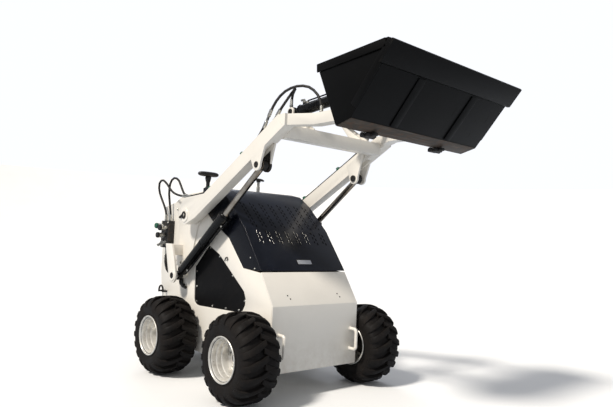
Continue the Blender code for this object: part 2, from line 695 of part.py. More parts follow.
# ---------------------------------------------------------------- bucket
def make_bucket(bucket):
    outer = [BUCKET_BACK_TOP, BUCKET_BACK_FOOT, BUCKET_HEEL, BUCKET_LIP]
    outline = outer + [BUCKET_CORNER]
    shell = bucket.add("bucket_shell", prism(outline, -BUCKET_HALF, BUCKET_HALF), bucket_paint())
    inner = inset_path(outer[::-1], BUCKET_WALL)
    inner[0] = tuple(Vector(inner[0]) + (Vector(inner[0]) - Vector(inner[1])).normalized() * 0.05)
    inner[-1] = tuple(Vector(inner[-1]) + (Vector(inner[-1]) - Vector(inner[-2])).normalized()
                      * 0.05)
    mouth = inner + [(0.870, 1.750), (1.450, 1.750)]
    reach = BUCKET_HALF - BUCKET_WALL
    cut(bucket, shell, prism(mouth, -reach, reach))

    # cutting edge: a thick strip under the floor at the lip
    lip, heel = Vector(BUCKET_LIP), Vector(BUCKET_HEEL)
    back = (heel - lip).normalized()
    down = Vector((-back.y, back.x))
    if down.y > 0:
        down = -down
    strip = [lip + down * SEAT_GAP - back * 0.002, lip + down * 0.012,
             lip + back * 0.100 + down * 0.012, lip + back * 0.108 + down * SEAT_GAP]
    bucket.add("cutting_edge", prism([tuple(p) for p in strip], -BUCKET_EDGE_HALF,
                                     BUCKET_EDGE_HALF), bucket_paint())


def make_attach_plate(bucket):
    """The quick-attach plate on the bucket's back, with lugs for the arms and cylinders."""
    top, foot = Vector(BUCKET_BACK_TOP), Vector(BUCKET_BACK_FOOT)
    down = (foot - top).normalized()
    out = Vector((down.y, -down.x))
    if out.x > 0:
        out = -out

    def point(distance, reach):
        p = top + down * distance + out * reach
        return (p.x, p.y)

    length = (foot - top).length
    plate = bucket.add("attach_plate",
                       prism([point(0.030, SEAT_GAP), point(length - 0.010, SEAT_GAP),
                              point(length - 0.010, 0.012), point(0.030, 0.012)],
                             -0.345, 0.345), white_paint())
    for side in (RIGHT, LEFT):
        # window that lets the tilt rod's eye swing
        cut(bucket, plate, prism([point(0.036, -0.01), point(0.150, -0.01), point(0.150, 0.03),
                                  point(0.036, 0.03)],
                                 side * TILT_Y - 0.021, side * TILT_Y + 0.021))
        eye = Vector(TILT_EYE)
        lug = [point(0.034, 0.006)] + arc(eye, 0.024, 120, 240, 8) + [point(0.150, 0.006)]
        for offset in (-0.031, 0.021):
            weld(bucket, plate, prism(lug, side * TILT_Y + offset, side * TILT_Y + offset + 0.010))
        pivot = Vector(TOOL_PIVOT)
        ear = [point(0.215, 0.006)] + arc(pivot, 0.026, 130, 290, 8) \
            + [point(length - 0.010, 0.006)]
        for inner in (FOREARM_INNER - RUNNING_GAP - 0.012, FOREARM_OUTER + RUNNING_GAP):
            weld(bucket, plate, prism(ear, side * inner, side * (inner + 0.012)))
        weld(bucket, plate, turned([(0, FOREARM_INNER - 0.014),
                                    (PIN_RADIUS, FOREARM_INNER - 0.014),
                                    (PIN_RADIUS, FOREARM_OUTER + 0.014),
                                    (0, FOREARM_OUTER + 0.014)], TOOL_PIVOT, side, 20))


# ---------------------------------------------------------------- operator platform
def make_platform(chassis):
    """The step that the operator rides on; it folds up against the rear panel."""
    x, z = PLATFORM_HINGE
    platform = Body("platform_hinge", (x, 0, z), chassis)
    bore = 0.008 + PIN_PLAY
    step = platform.add("operator_platform",
                        slab((PLATFORM_REAR_X, -PLATFORM_HALF, z - PLATFORM_THICK / 2),
                             (x, PLATFORM_HALF, z + PLATFORM_THICK / 2)), iron())
    weld(platform, step, turned([(0, -PLATFORM_HALF), (PLATFORM_THICK / 2 - 0.0005, -PLATFORM_HALF),
                                 (PLATFORM_THICK / 2 - 0.0005, PLATFORM_HALF), (0, PLATFORM_HALF)],
                                (x, z), 1, 24))
    for side in (RIGHT, LEFT):
        cut(platform, step, turned([(0, PLATFORM_HALF - 0.034), (bore, PLATFORM_HALF - 0.034),
                                    (bore, PLATFORM_HALF + 0.02), (0, PLATFORM_HALF + 0.02)],
                                   (x, z), side, 16))


# ---------------------------------------------------------------- hoses
def smooth_route(points, spacing):
    """Even steps along a smooth curve that passes through the given points."""
    points = [Vector(p) for p in points]
    padded = [2 * points[0] - points[1]] + points + [2 * points[-1] - points[-2]]
    fine = []
    for before, start, end, after in zip(padded, padded[1:], padded[2:], padded[3:]):
        for k in range(24):
            t = k / 24
            fine.append(0.5 * (2 * start + (end - before) * t
                               + (2 * before - 5 * start + 4 * end - after) * t * t
                               + (3 * start - before - 3 * end + after) * t ** 3))
    fine.append(points[-1])
    travelled = [0.0]
    for first, second in zip(fine, fine[1:]):
        travelled.append(travelled[-1] + (second - first).length)
    count = max(8, round(travelled[-1] / spacing))
    route, place = [], 0
    for k in range(count + 1):
        target = travelled[-1] * k / count
        while place < len(fine) - 2 and travelled[place + 1] < target:
            place += 1
        share = (target - travelled[place]) / (travelled[place + 1] - travelled[place])
        route.append(fine[place].lerp(fine[place + 1], min(max(share, 0.0), 1.0)))
    return route


def make_hose(body, name, points):
    """A hydraulic hose: a round tube along a smooth route, with filled ends."""
    curve = bpy.data.curves.new(name, "CURVE")
    curve.dimensions = "3D"
    curve.bevel_depth = HOSE_RADIUS
    curve.bevel_resolution = 3
    curve.use_fill_caps = True
    route = smooth_route(points, 5 * HOSE_RADIUS)
    spline = curve.splines.new("POLY")
    spline.points.add(len(route) - 1)
    for place, point in zip(spline.points, route):
        place.co = (*point, 1.0)
    body.add(name, curve, rubber())


def arm_surface(x, rise):
    """The height at x of a line that runs a given rise above the arm's upper edge."""
    high = ARM_DEPTH - ARM_DROP
    heel = arm_edge_at(ARM_HEEL_X, high)
    if x >= ARM_HEEL_X:
        return arm_edge_at(x, high)[1] + rise / math.cos(ARM_SLOPE)
    share = (x - ARM_TAIL[0]) / (ARM_HEEL_X - ARM_TAIL[0])
    return ARM_TAIL[1] + share * (heel[1] - ARM_TAIL[1]) + rise


def make_tower_hoses(chassis):
    """Two hoses that loop up from the outlet block to the arm, and one down to the cylinder."""
    x_from, x_to, z_from, z_to = COUPLER
    middle = -(BODY_HALF + SEAT_GAP + COUPLER_DEPTH / 2)
    top, bottom = z_to + SEAT_GAP, z_from - SEAT_GAP
    end_x, end_z = ARM_TAIL[0] - 0.027, ARM_TAIL[1] + 0.014
    x = x_from + 0.020
    make_hose(chassis, "tower_hose_rear",
              [(x, middle, top), (x, middle, top + 0.040),
               (x - 0.020, middle - 0.008, top + 0.095), (x - 0.060, middle - 0.015, top + 0.155),
               (x - 0.083, middle - 0.021, top + 0.205), (x - 0.070, middle - 0.027, top + 0.252),
               (x - 0.018, middle - 0.031, top + 0.267), (x + 0.048, middle - 0.034, top + 0.238),
               (x + 0.130, middle - 0.036, end_z + 0.034), (end_x - 0.090, middle - 0.037, end_z + 0.009),
               (end_x, middle - 0.037, end_z)])
    x = x_to - 0.025
    make_hose(chassis, "tower_hose_front",
              [(x, middle, top), (x, middle, top + 0.045),
               (x - 0.005, middle - 0.008, top + 0.115), (x - 0.010, middle - 0.014, top + 0.185),
               (x + 0.012, middle - 0.019, top + 0.250), (x + 0.065, middle - 0.020, top + 0.276),
               (x + 0.122, middle - 0.020, top + 0.256), (end_x - 0.093, middle - 0.019, end_z + 0.059),
               (end_x - 0.056, middle - 0.019, end_z + 0.019), (end_x, middle - 0.019, end_z)])
    x = x_from + 0.045
    base_x, base_z = LIFT_BASE[0] - LIFT_PIN_RADIUS - SEAT_GAP, LIFT_BASE[1]
    make_hose(chassis, "cylinder_hose",
              [(x, middle, bottom), (x, middle, bottom - 0.040), (x + 0.003, middle, bottom - 0.090),
               (x + 0.030, middle + 0.001, base_z + 0.024), (x + 0.085, middle + 0.003, base_z + 0.002),
               (base_x - 0.054, -0.326, base_z), (base_x, -0.326, base_z)])


def make_arm_hoses(arms, side):
    """Two hoses along the top of the arm. One arcs over to the forearm, one to the lug."""
    rest = HOSE_RADIUS + 2 * SEAT_GAP

    def lying(y, rises):
        return [(x, side * y, arm_surface(x, rest + rise)) for x, rise in rises]

    flat = [(ARM_TAIL[0] + 0.010, 0), (-0.240, 0), (-0.165, 0.0004), (-0.120, 0.003),
            (-0.070, 0.001), (0.010, 0), (0.150, 0)]
    outer, inner = ARM_OUTER - 0.025, ARM_INNER + 0.014
    tall, ahead = FOREARM_TOP, FOREARM_BEND_X
    make_hose(arms, side_name(side) + "_arm_hose_outer",
              lying(outer, flat + [(0.300, 0), (0.365, 0.008)])
              + [(0.418, side * 0.370, tall - 0.022), (0.450, side * 0.364, tall + 0.040),
                 (0.484, side * 0.356, tall + 0.089), (0.530, side * 0.342, tall + 0.128),
                 (0.592, side * 0.318, tall + 0.148), (ahead - 0.070, side * 0.293, tall + 0.138),
                 (ahead - 0.018, side * 0.280, tall + 0.094), (ahead + 0.009, side * 0.277, tall + 0.040),
                 (ahead + 0.012, side * 0.277, tall - 0.005 + SEAT_GAP)])
    base_x, base_z = TILT_BASE[0], TILT_BASE[1] + 0.025 + SEAT_GAP
    make_hose(arms, side_name(side) + "_arm_hose_inner",
              lying(inner, flat + [(0.320, 0), (0.400, 0.006)])
              + [(0.462, side * 0.351, tall - 0.014), (0.500, side * 0.346, tall + 0.036),
                 (0.532, side * 0.332, tall + 0.084), (0.545, side * 0.308, tall + 0.128),
                 (0.530, side * 0.278, tall + 0.154), (0.493, side * 0.252, tall + 0.155),
                 (base_x + 0.016, side * 0.232, base_z + 0.066),
                 (base_x, side * 0.226, base_z + 0.026), (base_x, side * 0.226, base_z)])


# ---------------------------------------------------------------- the machine
def main():
    clear_scene()
    chassis = Body("machine", (0, 0, 0))
    chassis.empty.location = (-LENGTH_MIDDLE, 0, 0)

    make_front_panel(chassis)
    make_belly_pan(chassis)
    make_rear_panel(chassis)
    make_console(chassis)
    make_engine(chassis)
    make_coupler_block(chassis)
    make_tower_hoses(chassis)
    make_rear_pad(chassis)
    make_hood(chassis)
    make_platform(chassis)

    arms = Body("lift_arm_axis", (ARM_PIVOT[0], 0, ARM_PIVOT[1]), chassis)
    bucket = Body("bucket_axis", (TOOL_PIVOT[0], 0, TOOL_PIVOT[1]), arms)
    make_cross_tube(arms)
    make_bucket(bucket)
    make_attach_plate(bucket)

    for side in (RIGHT, LEFT):
        make_side_frame(chassis, side)
        make_side_grille(chassis, side)
        make_tower_plate(chassis, side)
        make_cylinder_lug(chassis, side)
        make_front_handle(chassis, side)
        make_tie_ring(chassis, side)
        make_control_lever(chassis, side)
        make_lift_arm(arms, side)
        make_arm_hoses(arms, side)
        make_cylinder(chassis, "lift", side, LIFT_BASE, LIFT_EYE, LIFT_Y,
                      (LIFT_BARREL_RADIUS, LIFT_BARREL_LENGTH, 0.180),
                      (LIFT_ROD_RADIUS, LIFT_ROD_LENGTH))
        make_cylinder(arms, "tilt", side, TILT_BASE, TILT_EYE, TILT_Y,
                      (TILT_BARREL_RADIUS, TILT_BARREL_LENGTH, 0.042),
                      (TILT_ROD_RADIUS, TILT_ROD_LENGTH))
        for end in ("front", "rear"):
            make_drive_hub(chassis, end, side)
            make_wheel(chassis, end, side)
    bpy.context.view_layer.update()


main()
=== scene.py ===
"""Looks for a compact stand-on loader: paint, tyres, trim, hoses, light and camera.

The CAD frame is fixed. Sizes are in metres. Shapes are worked out in the machine's own axes, +X
forward, +Y to its left and +Z up with X = 0 midway between the axles, and new_piece() shifts each
one into place.
"""

import json
import math

import bmesh
import bpy
import numpy as np
from mathutils import Matrix, Vector

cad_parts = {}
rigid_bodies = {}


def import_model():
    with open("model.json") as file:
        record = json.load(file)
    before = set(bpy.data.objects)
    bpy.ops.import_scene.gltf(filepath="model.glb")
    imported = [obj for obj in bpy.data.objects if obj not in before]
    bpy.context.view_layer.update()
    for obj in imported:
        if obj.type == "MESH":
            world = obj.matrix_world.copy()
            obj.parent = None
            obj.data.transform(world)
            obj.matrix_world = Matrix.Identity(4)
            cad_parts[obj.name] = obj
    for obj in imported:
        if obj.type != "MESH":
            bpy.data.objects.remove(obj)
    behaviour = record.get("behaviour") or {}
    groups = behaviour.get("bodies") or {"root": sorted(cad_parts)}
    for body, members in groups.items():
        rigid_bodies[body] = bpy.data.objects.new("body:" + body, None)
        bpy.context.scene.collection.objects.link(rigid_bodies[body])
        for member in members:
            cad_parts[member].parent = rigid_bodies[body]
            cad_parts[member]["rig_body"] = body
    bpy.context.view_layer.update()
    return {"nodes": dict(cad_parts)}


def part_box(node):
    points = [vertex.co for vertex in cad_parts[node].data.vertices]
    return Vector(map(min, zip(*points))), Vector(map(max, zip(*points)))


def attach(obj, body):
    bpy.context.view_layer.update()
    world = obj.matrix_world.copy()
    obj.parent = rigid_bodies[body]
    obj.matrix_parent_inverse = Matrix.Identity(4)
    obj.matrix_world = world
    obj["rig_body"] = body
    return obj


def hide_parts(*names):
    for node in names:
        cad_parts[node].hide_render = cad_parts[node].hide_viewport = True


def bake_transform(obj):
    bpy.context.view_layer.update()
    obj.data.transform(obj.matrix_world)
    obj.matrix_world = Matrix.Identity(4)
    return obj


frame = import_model()

bl_info = {
    "name": "Compact Loader Looks",
    "version": (1, 0, 0),
    "blender": (4, 5, 0),
    "location": "View3D > Sidebar > Loader",
    "description": "Builds the paint, tyres, trim and stage of a compact loader",
    "category": "Add Mesh",
}

NOSE_X = 0.467
SHIFT = NOSE_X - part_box("front_panel")[1].x       # machine X minus world X
BODY_HALF = 0.310
WHEELBASE = 0.784
TRACK_HALF = 0.445
TYRE_RADIUS = 0.2285
ARM_PIVOT = (-0.321, 0.948)                       # pivots are (x, z) in the side view
ARM_SLOPE = math.radians(29.5)
ARM_TAIL = (-0.345, 1.052)
ARM_HEEL_X = -0.115
ARM_RISE = 0.007
ARM_OUTER_Y, ARM_INNER_Y = 0.399, 0.321           # the arm's outer and inner faces
LIFT_BASE = (-0.428, 0.576)
LIFT_EYE = (0.387, 1.208)
LIFT_PIN_RADIUS = 0.018
TOOL_PIVOT = (0.955, 1.395)
TILT_BASE = (0.440, 1.507)
TILT_EYE = (0.868, 1.542)
TILT_Y = 0.200
LIFT_Y = 0.355
HOSE_RADIUS = 0.007
OUTER_LANE, INNER_LANE = 0.374, 0.352             # the two hoses along each arm
SEAT_GAP = 0.0003
SIDES = (("right", -1), ("left", 1))


# ---------------------------------------------------------------- settings
def hex_setting(name, what, default):
    return bpy.props.StringProperty(name=name, description=f"Hex colour of {what}",
                                    default=default)


def number_setting(name, what, default, low, high, unit="LENGTH"):
    return bpy.props.FloatProperty(name=name, description=what, default=default, min=low,
                                   max=high, unit=unit)


class LoaderColours(bpy.types.PropertyGroup):
    body: hex_setting("Body", "the powder-coated body and arms", "F1EBE0")
    hood: hex_setting("Hood", "the gloss engine hood", "0C0E15")
    bucket: hex_setting("Bucket", "the bucket's enamel", "050505")
    rim: hex_setting("Rims", "the silver wheel paint", "E2DFD8")
    tyre: hex_setting("Tyres", "the tyre rubber", "161413")
    clip: hex_setting("Hose clips", "the nylon hose clips", "1F5A45")


class LoaderSizes(bpy.types.PropertyGroup):
    lug_count: bpy.props.IntProperty(
        name="Tread bars", description="Bars on each half of a tyre's tread", default=19,
        min=12, max=30)
    lug_height: number_setting("Tread depth", "Height of a tread bar over the carcass", 0.019,
                               0.005, 0.03)
    edge_radius: number_setting("Edge radius", "Rounding of the plate and tube edges", 0.0022,
                                0.0005, 0.005)
    slot_length: number_setting("Hood slot", "Length of one vent slot in the hood", 0.018,
                                0.01, 0.06)
    key_strength: number_setting("Key light", "Strength of the key sun", 3.3, 0.0, 20.0, "NONE")


# ---------------------------------------------------------------- materials
def linear(code):
    """sRGB hex to linear colour: the standard curve on each of the three bytes."""
    levels = [int(code[i:i + 2], 16) / 255 for i in (0, 2, 4)]
    return (*[v / 12.92 if v <= 0.04045 else ((v + 0.055) / 1.055) ** 2.4 for v in levels], 1.0)


def dimmed(code, share):
    """A hex colour's linear levels times a share."""
    return tuple(level * share for level in linear(code)[:3]) + (1.0,)


def put(tree, kind, values=None, links=None, **settings):
    """Add a node, set its properties and input values, and link other nodes' outputs to it."""
    made = tree.nodes.new(kind)
    for name, value in settings.items():
        setattr(made, name, value)
    for name, value in (values or {}).items():
        made.inputs[name].default_value = value
    for name, output in (links or {}).items():
        tree.links.new(output, made.inputs[name])
    return made


def start_material(name, **sockets):
    """A new material, its tree, its shader with plain values set, and its object coordinates."""
    made = bpy.data.materials.new(name)
    made.use_nodes = True
    tree = made.node_tree
    shader = tree.nodes["Principled BSDF"]
    for socket, value in sockets.items():
        shader.inputs[socket.replace("_", " ")].default_value = value
    place = put(tree, "ShaderNodeTexCoord").outputs["Object"]
    return made, tree, shader, place


def mixed(tree, factor, first, second):
    """A colour between two, by a factor output. Each colour is levels or another output."""
    links, values = {0: factor}, {}
    for slot, colour in ((6, first), (7, second)):
        side = links if isinstance(colour, bpy.types.NodeSocket) else values
        side[slot] = colour
    return put(tree, "ShaderNodeMix", values, links, data_type="RGBA").outputs[2]


def ramped(tree, value, low, high, out_low=0.0, out_high=1.0):
    """A value between two levels, read off a value output."""
    return put(tree, "ShaderNodeMapRange",
               {"From Min": low, "From Max": high, "To Min": out_low, "To Max": out_high},
               {"Value": value}).outputs[0]


def combined(tree, operation, first, second):
    """Two value outputs, or an output and a number, put through one sum."""
    links, values = {0: first}, {}
    side = links if isinstance(second, bpy.types.NodeSocket) else values
    side[1] = second
    return put(tree, "ShaderNodeMath", values, links, operation=operation).outputs[0]


def noise(tree, place, scale, detail=3.0, roughness=0.55, stretch=None):
    """Fractal noise on the place, stretched if three factors are given."""
    if stretch:
        place = put(tree, "ShaderNodeMapping", {"Scale": stretch}, {"Vector": place}).outputs[0]
    return put(tree, "ShaderNodeTexNoise",
               {"Scale": scale, "Detail": detail, "Roughness": roughness},
               {"Vector": place}).outputs["Fac"]


def bumped(tree, shader, height, strength, distance=0.001):
    bump = put(tree, "ShaderNodeBump", {"Strength": strength, "Distance": distance},
               {"Height": height})
    tree.links.new(bump.outputs[0], shader.inputs["Normal"])


def coated(name, base, layers, rough=None, bump=None, **sockets):
    """A material of noise over a base colour. A grain is noise()'s scale, detail, roughness and
    stretch. Each layer is a grain, the two noise levels between which it comes in, how much of
    it shows, and its colour. rough is a grain, its levels and the roughness at each. bump is a
    grain with its strength, and its depth if that isn't 1 mm."""
    made, tree, shader, place = start_material(name, **sockets)
    colour = linear(base)
    for grain, low, high, share, over in layers:
        mask = ramped(tree, noise(tree, place, *grain), low, high, 0, share)
        colour = mixed(tree, mask, colour, linear(over) if isinstance(over, str) else over)
    tree.links.new(colour, shader.inputs["Base Color"])
    if rough:
        tree.links.new(ramped(tree, noise(tree, place, *rough[0]), *rough[1:]),
                       shader.inputs["Roughness"])
    if bump:
        bumped(tree, shader, noise(tree, place, *bump[0]), *bump[1:])
    return made, tree, shader, place


def body_powder_coat(code):
    """Polyester powder coat on sheet steel: satin gloss with a faint orange peel, and light
    road dust low down. The real peel is about 1.5 mm, drawn at 4 mm so that it shows."""
    made, tree, shader, place = start_material("polyester_powder_coat", Coat_Weight=0.25,
                                               Coat_Roughness=0.2)
    smudge = ramped(tree, noise(tree, place, 5.0, 4.0), 0.45, 0.75)
    colour = mixed(tree, ramped(tree, smudge, 0, 1, 0, 0.5), linear(code), dimmed(code, 0.90))
    height = put(tree, "ShaderNodeSeparateXYZ", links={0: place}).outputs["Z"]
    dusty = combined(tree, "MULTIPLY", ramped(tree, height, 0.34, 0.10),
                     ramped(tree, noise(tree, place, 26.0, 5.0), 0.35, 0.7))
    colour = mixed(tree, ramped(tree, dusty, 0, 1, 0, 0.35), colour, linear("B7A58B"))
    tree.links.new(colour, shader.inputs["Base Color"])
    tree.links.new(ramped(tree, smudge, 0, 1, 0.32, 0.46), shader.inputs["Roughness"])
    bumped(tree, shader, noise(tree, place, 250.0, 1.0), 0.05)
    return made


def hood_gloss(code):
    """Blue-black gloss powder coat on bent sheet: a clear mirror-like coat. The upper faces are
    painted lighter blue-grey in uneven patches as a painted sky reflection, and are rougher there
    as under a thin film of dust."""
    made, tree, shader, place = start_material("gloss_black_coat", Specular_IOR_Level=0.16,
                                               Coat_Weight=0.08, Coat_Roughness=0.12)
    normal = put(tree, "ShaderNodeNewGeometry").outputs["True Normal"]
    facing = put(tree, "ShaderNodeSeparateXYZ", links={0: normal}).outputs["Z"]
    # painted reflection: faces turned up are painted lighter towards blue-grey in uneven patches,
    # as a painted sky sheen; the same mask also makes them rougher, like dust
    sky_sheen_and_dust = combined(tree, "MULTIPLY", ramped(tree, facing, 0.2, 1.0),
                    ramped(tree, noise(tree, place, 7.0, 5.0), 0.3, 0.75, 0.15, 0.6))
    tree.links.new(mixed(tree, sky_sheen_and_dust, linear(code), linear("262C3B")), shader.inputs["Base Color"])
    tree.links.new(ramped(tree, sky_sheen_and_dust, 0, 0.6, 0.24, 0.48), shader.inputs["Roughness"])
    bumped(tree, shader, noise(tree, place, 220.0, 1.0), 0.04)
    return made


def hose_cover():
    """Synthetic rubber hose cover: matt black with the wrapped-cloth print of its curing, about
    3 mm apart, and dust on it."""
    made, tree, shader, place = coated("hose_cover_rubber", "131211",
                                       [((45.0, 4.0), 0.45, 0.75, 0.5, "3B332D")], Roughness=0.6)
    wrap = put(tree, "ShaderNodeTexWave", {"Scale": 55.0, "Distortion": 1.0}, {"Vector": place},
               bands_direction="DIAGONAL").outputs["Fac"]
    bumped(tree, shader, wrap, 0.15)
    return made


def pad_vinyl():
    """Vinyl-coated cloth over foam: fine leather grain of 2 mm cells and a soft sheen."""
    made, tree, shader, place = coated("grained_vinyl", "121212",
                                       [((16.0,), 0.4, 0.7, 1, "1E1D1C")], Roughness=0.52,
                                       Sheen_Weight=0.15)
    cells = put(tree, "ShaderNodeTexVoronoi", {"Scale": 420.0}, {"Vector": place},
                feature="DISTANCE_TO_EDGE").outputs["Distance"]
    bumped(tree, shader, ramped(tree, cells, 0, 0.12), 0.3)
    return made


def perforated_sheet():
    """Black coated perforated steel: round 5 mm holes at 9 mm centres in offset rows. The holes
    are painted near-black and dull, as painted shade for the unlit inside seen through them, and
    the sheet between them is satin. A hole is where the product of sin(x + z) and sin(x - z) is
    high, with 12.8 mm to a turn."""
    made, tree, shader, place = start_material("perforated_black_sheet", Specular_IOR_Level=0.1)
    axes = put(tree, "ShaderNodeSeparateXYZ", links={0: place}).outputs
    waves = []
    for combine in ("ADD", "SUBTRACT"):
        across = combined(tree, combine, axes["X"], axes["Z"])
        turns = combined(tree, "MULTIPLY", across, math.tau / 0.0128)
        waves.append(put(tree, "ShaderNodeMath", links={0: turns}, operation="SINE").outputs[0])
    # painted shade: inside each hole the sheet is painted near-black, for the shaded inside seen
    # through it
    inside = ramped(tree, combined(tree, "MULTIPLY", *waves), 0.28, 0.42)
    dust = ramped(tree, noise(tree, place, 18.0, 5.0), 0.4, 0.8, 0, 0.4)
    metal = mixed(tree, dust, linear("0E0E10"), linear("211E1C"))
    tree.links.new(mixed(tree, inside, metal, linear("030303")), shader.inputs["Base Color"])
    tree.links.new(ramped(tree, inside, 0, 1, 0.42, 0.9), shader.inputs["Roughness"])
    bumped(tree, shader, ramped(tree, inside, 0, 1, 1, 0), 0.4)
    return made


def studio_floor():
    """Matt white sweep paint with a barely visible unevenness. To the light that bounces on to
    the machine it is a mid grey, so that upright plates stay in soft shade."""
    made, tree, shader, place = start_material("studio_sweep", Roughness=0.9,
                                               Specular_IOR_Level=0.1)
    paint = mixed(tree, noise(tree, place, 1.5, 2.0), linear("F4F4F3"), linear("FAFAF9"))
    seen = put(tree, "ShaderNodeLightPath").outputs["Is Camera Ray"]
    tree.links.new(mixed(tree, seen, linear("C0C6CE"), paint), shader.inputs["Base Color"])
    return made


FINISH = {}


def make_finishes(colours):
    """All finishes, made once, by the name of what they cover."""
    FINISH.update(cream=body_powder_coat(colours.body), hood=hood_gloss(colours.hood),
                  hose=hose_cover(), pad=pad_vinyl(), grille=perforated_sheet(),
                  floor=studio_floor())
    plain = {
        # Sprayed black enamel on thick plate: satin, with long fine scuffs of 2 to 4 mm from
        # loading and a little grey dust.
        "bucket": coated("black_plate_enamel", colours.bucket,
                         [((9.0, 6.0), 0.5, 0.8, 0.25, "12100F"),
                          ((60.0, 6.0, 0.6, (0.35, 1.0, 0.12)), 0.62, 0.74, 0.3, "24211E")],
                         ((60.0, 6.0, 0.6, (0.35, 1.0, 0.12)), 0.62, 0.74, 0.40, 0.62),
                         ((160.0, 3.0), 0.08), Specular_IOR_Level=0.12),
        # Quenched wear steel with its paint rubbed off: brownish grey mill scale, thin rust
        # blooms and dull scratches along the working direction.
        "wear": coated("bare_wear_steel", "4A443D",
                       [((34.0, 6.0, 0.65), 0.45, 0.7, 1, "5C4636"),
                        ((90.0, 4.0, 0.6, (1.0, 0.08, 1.0)), 0.55, 0.7, 0.4, "857C70")],
                       None, ((140.0, 5.0), 0.2), Roughness=0.55, Metallic=0.45),
        # Two-pack gloss black on a cold drawn tube: smooth, with a few dust specks.
        "cylinder": coated("two_pack_black", "0B0B0C",
                           [((40.0, 5.0), 0.55, 0.75, 0.35, "2C2927")],
                           ((40.0, 5.0), 0.55, 0.75, 0.22, 0.5), Specular_IOR_Level=0.2,
                           Coat_Weight=0.05, Coat_Roughness=0.1),
        # Hard chrome on a ground rod: a bright mirror with a faint 2 mm unevenness and a thin
        # film of oil that browns it.
        "rod": coated("hard_chrome", "B9B2A8", [((12.0, 3.0), 0.4, 0.7, 1, "8F8375")],
                      ((180.0, 2.0, 0.5), 0.3, 0.7, 0.12, 0.24), Metallic=1.0),
        # Silver wheel paint over pressed steel: satin flake, with brown road dust in the dish
        # and rust at a few chips.
        "rim": coated("silver_wheel_paint", colours.rim,
                      [((30.0, 5.0), 0.42, 0.75, 0.55, "8C8375"),
                       ((120.0, 3.0), 0.68, 0.74, 1, "6B5340")],
                      ((30.0, 5.0), 0.42, 0.75, 0.30, 0.55), ((260.0, 1.0), 0.06),
                      Metallic=0.45, Coat_Weight=0.2),
        # Carbon-black tyre rubber: dull, slightly brown, with a bloom and dry soil caught in it.
        "tyre": coated("tyre_rubber", colours.tyre,
                       [((14.0, 5.0), 0.38, 0.72, 0.55, "241F1C"),
                        ((70.0, 6.0, 0.7), 0.56, 0.72, 0.4, "3A3028")],
                       ((14.0, 5.0), 0.38, 0.72, 0.55, 0.86), ((180.0, 4.0), 0.18),
                       Specular_IOR_Level=0.15),
        # Injection-moulded nylon: satin black with a spark-eroded grain, drawn at 2 mm.
        "grip": coated("moulded_black_nylon", "101011", [((20.0,), 0.4, 0.7, 1, "1E1E20")],
                       None, ((420.0, 2.0), 0.2), Roughness=0.48),
        # Glass-filled nylon pipe clip: dyed through, satin, with dust on it.
        "clip": coated("dyed_clip_nylon", colours.clip,
                       [((90.0, 4.0), 0.5, 0.75, 0.5, "51604F")], None, ((300.0, 2.0), 0.15),
                       Roughness=0.5),
        # Bright zinc on steel fasteners and hose ends: cool silver, slightly cloudy.
        "zinc": coated("bright_zinc", "CBCAC4", [((130.0, 3.0), 0.35, 0.7, 1, "97948C")],
                       ((130.0, 3.0), 0.35, 0.7, 0.22, 0.42), Metallic=1.0),
        # Sand-cast iron with thin black paint: rough skin of 2 mm grains, some of it rusty.
        "iron": coated("painted_cast_iron", "242423", [((50.0, 5.0), 0.52, 0.72, 1, "493B31")],
                       None, ((380.0, 4.0), 0.3), Metallic=0.35, Roughness=0.58),
        # Painted shade: a near-black, glossless patch standing for the unlit inside seen through a
        # slot, with a little soot-like mottling.
        "gap": coated("slot_shadow", "020202", [((60.0,), 0, 1, 1, "070707")], Roughness=0.95,
                      Specular_IOR_Level=0.1),
        # Brushed aluminium plate, left blank: fine lines along its length.
        "plate": coated("brushed_aluminium", "C9CBD0",
                        [((300.0, 3.0, 0.6, (1.0, 0.04, 1.0)), 0.35, 0.7, 1, "A3A6AD")],
                        None, ((300.0, 3.0, 0.6, (1.0, 0.04, 1.0)), 0.1), Metallic=0.55,
                        Roughness=0.4),
        # Painted weld bead: the body's coat over ripples 3 mm apart.
        "weld": coated("painted_weld", colours.body,
                       [((330.0, 2.0), 0.3, 0.7, 1, dimmed(colours.body, 0.82))], None,
                       ((330.0, 2.0), 0.5, 0.002), Roughness=0.4)}
    FINISH.update({name: made[0] for name, made in plain.items()})


# ---------------------------------------------------------------- surfaces
SLOTS = {"cream": "cream_paint", "weld": "cream_paint", "iron": "dark_iron", "zinc": "zinc_rim",
         "rim": "zinc_rim", "plate": "zinc_rim", "grip": "black_plastic", "clip": "black_plastic",
         "cylinder": "cylinder_paint", "bucket": "bucket_paint", "wear": "wear_steel",
         "hose": "hose_rubber", "tyre": "tyre_rubber", "pad": "pad_rubber", "gap": "hood_paint"}


def join(parts):
    """Several (verts, faces) as one pair."""
    verts, faces, start = [], [], 0
    for part_verts, part_faces in parts:
        part_verts = np.asarray(part_verts, float).reshape(-1, 3)
        verts.append(part_verts)
        faces += [[i + start for i in face] for face in part_faces]
        start += len(part_verts)
    return np.concatenate(verts), faces


def new_piece(name, finish, body, *parts, slot=None, smooth=35.0):
    """A piece from (verts, faces) pairs in the machine's axes, riding on a body. Its slot would be
    its finish's own unless one is given, but it is not used."""
    verts, faces = join(parts)
    mesh = bpy.data.meshes.new(name)
    mesh.from_pydata((verts - np.array([SHIFT, 0, 0])).tolist(), [], faces)
    mesh.validate()
    shell = bmesh.new()
    shell.from_mesh(mesh)
    bmesh.ops.remove_doubles(shell, verts=shell.verts, dist=1e-6)
    bmesh.ops.recalc_face_normals(shell, faces=shell.faces)
    shell.to_mesh(mesh)
    shell.free()
    mesh.shade_smooth()
    mesh.set_sharp_from_angle(angle=math.radians(smooth))
    mesh.materials.append(FINISH[finish])
    thing = bpy.data.objects.new(name, mesh)
    bpy.context.scene.collection.objects.link(thing)
    slot = slot or SLOTS.get(finish)
    if body:
        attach(thing, body)
    return thing


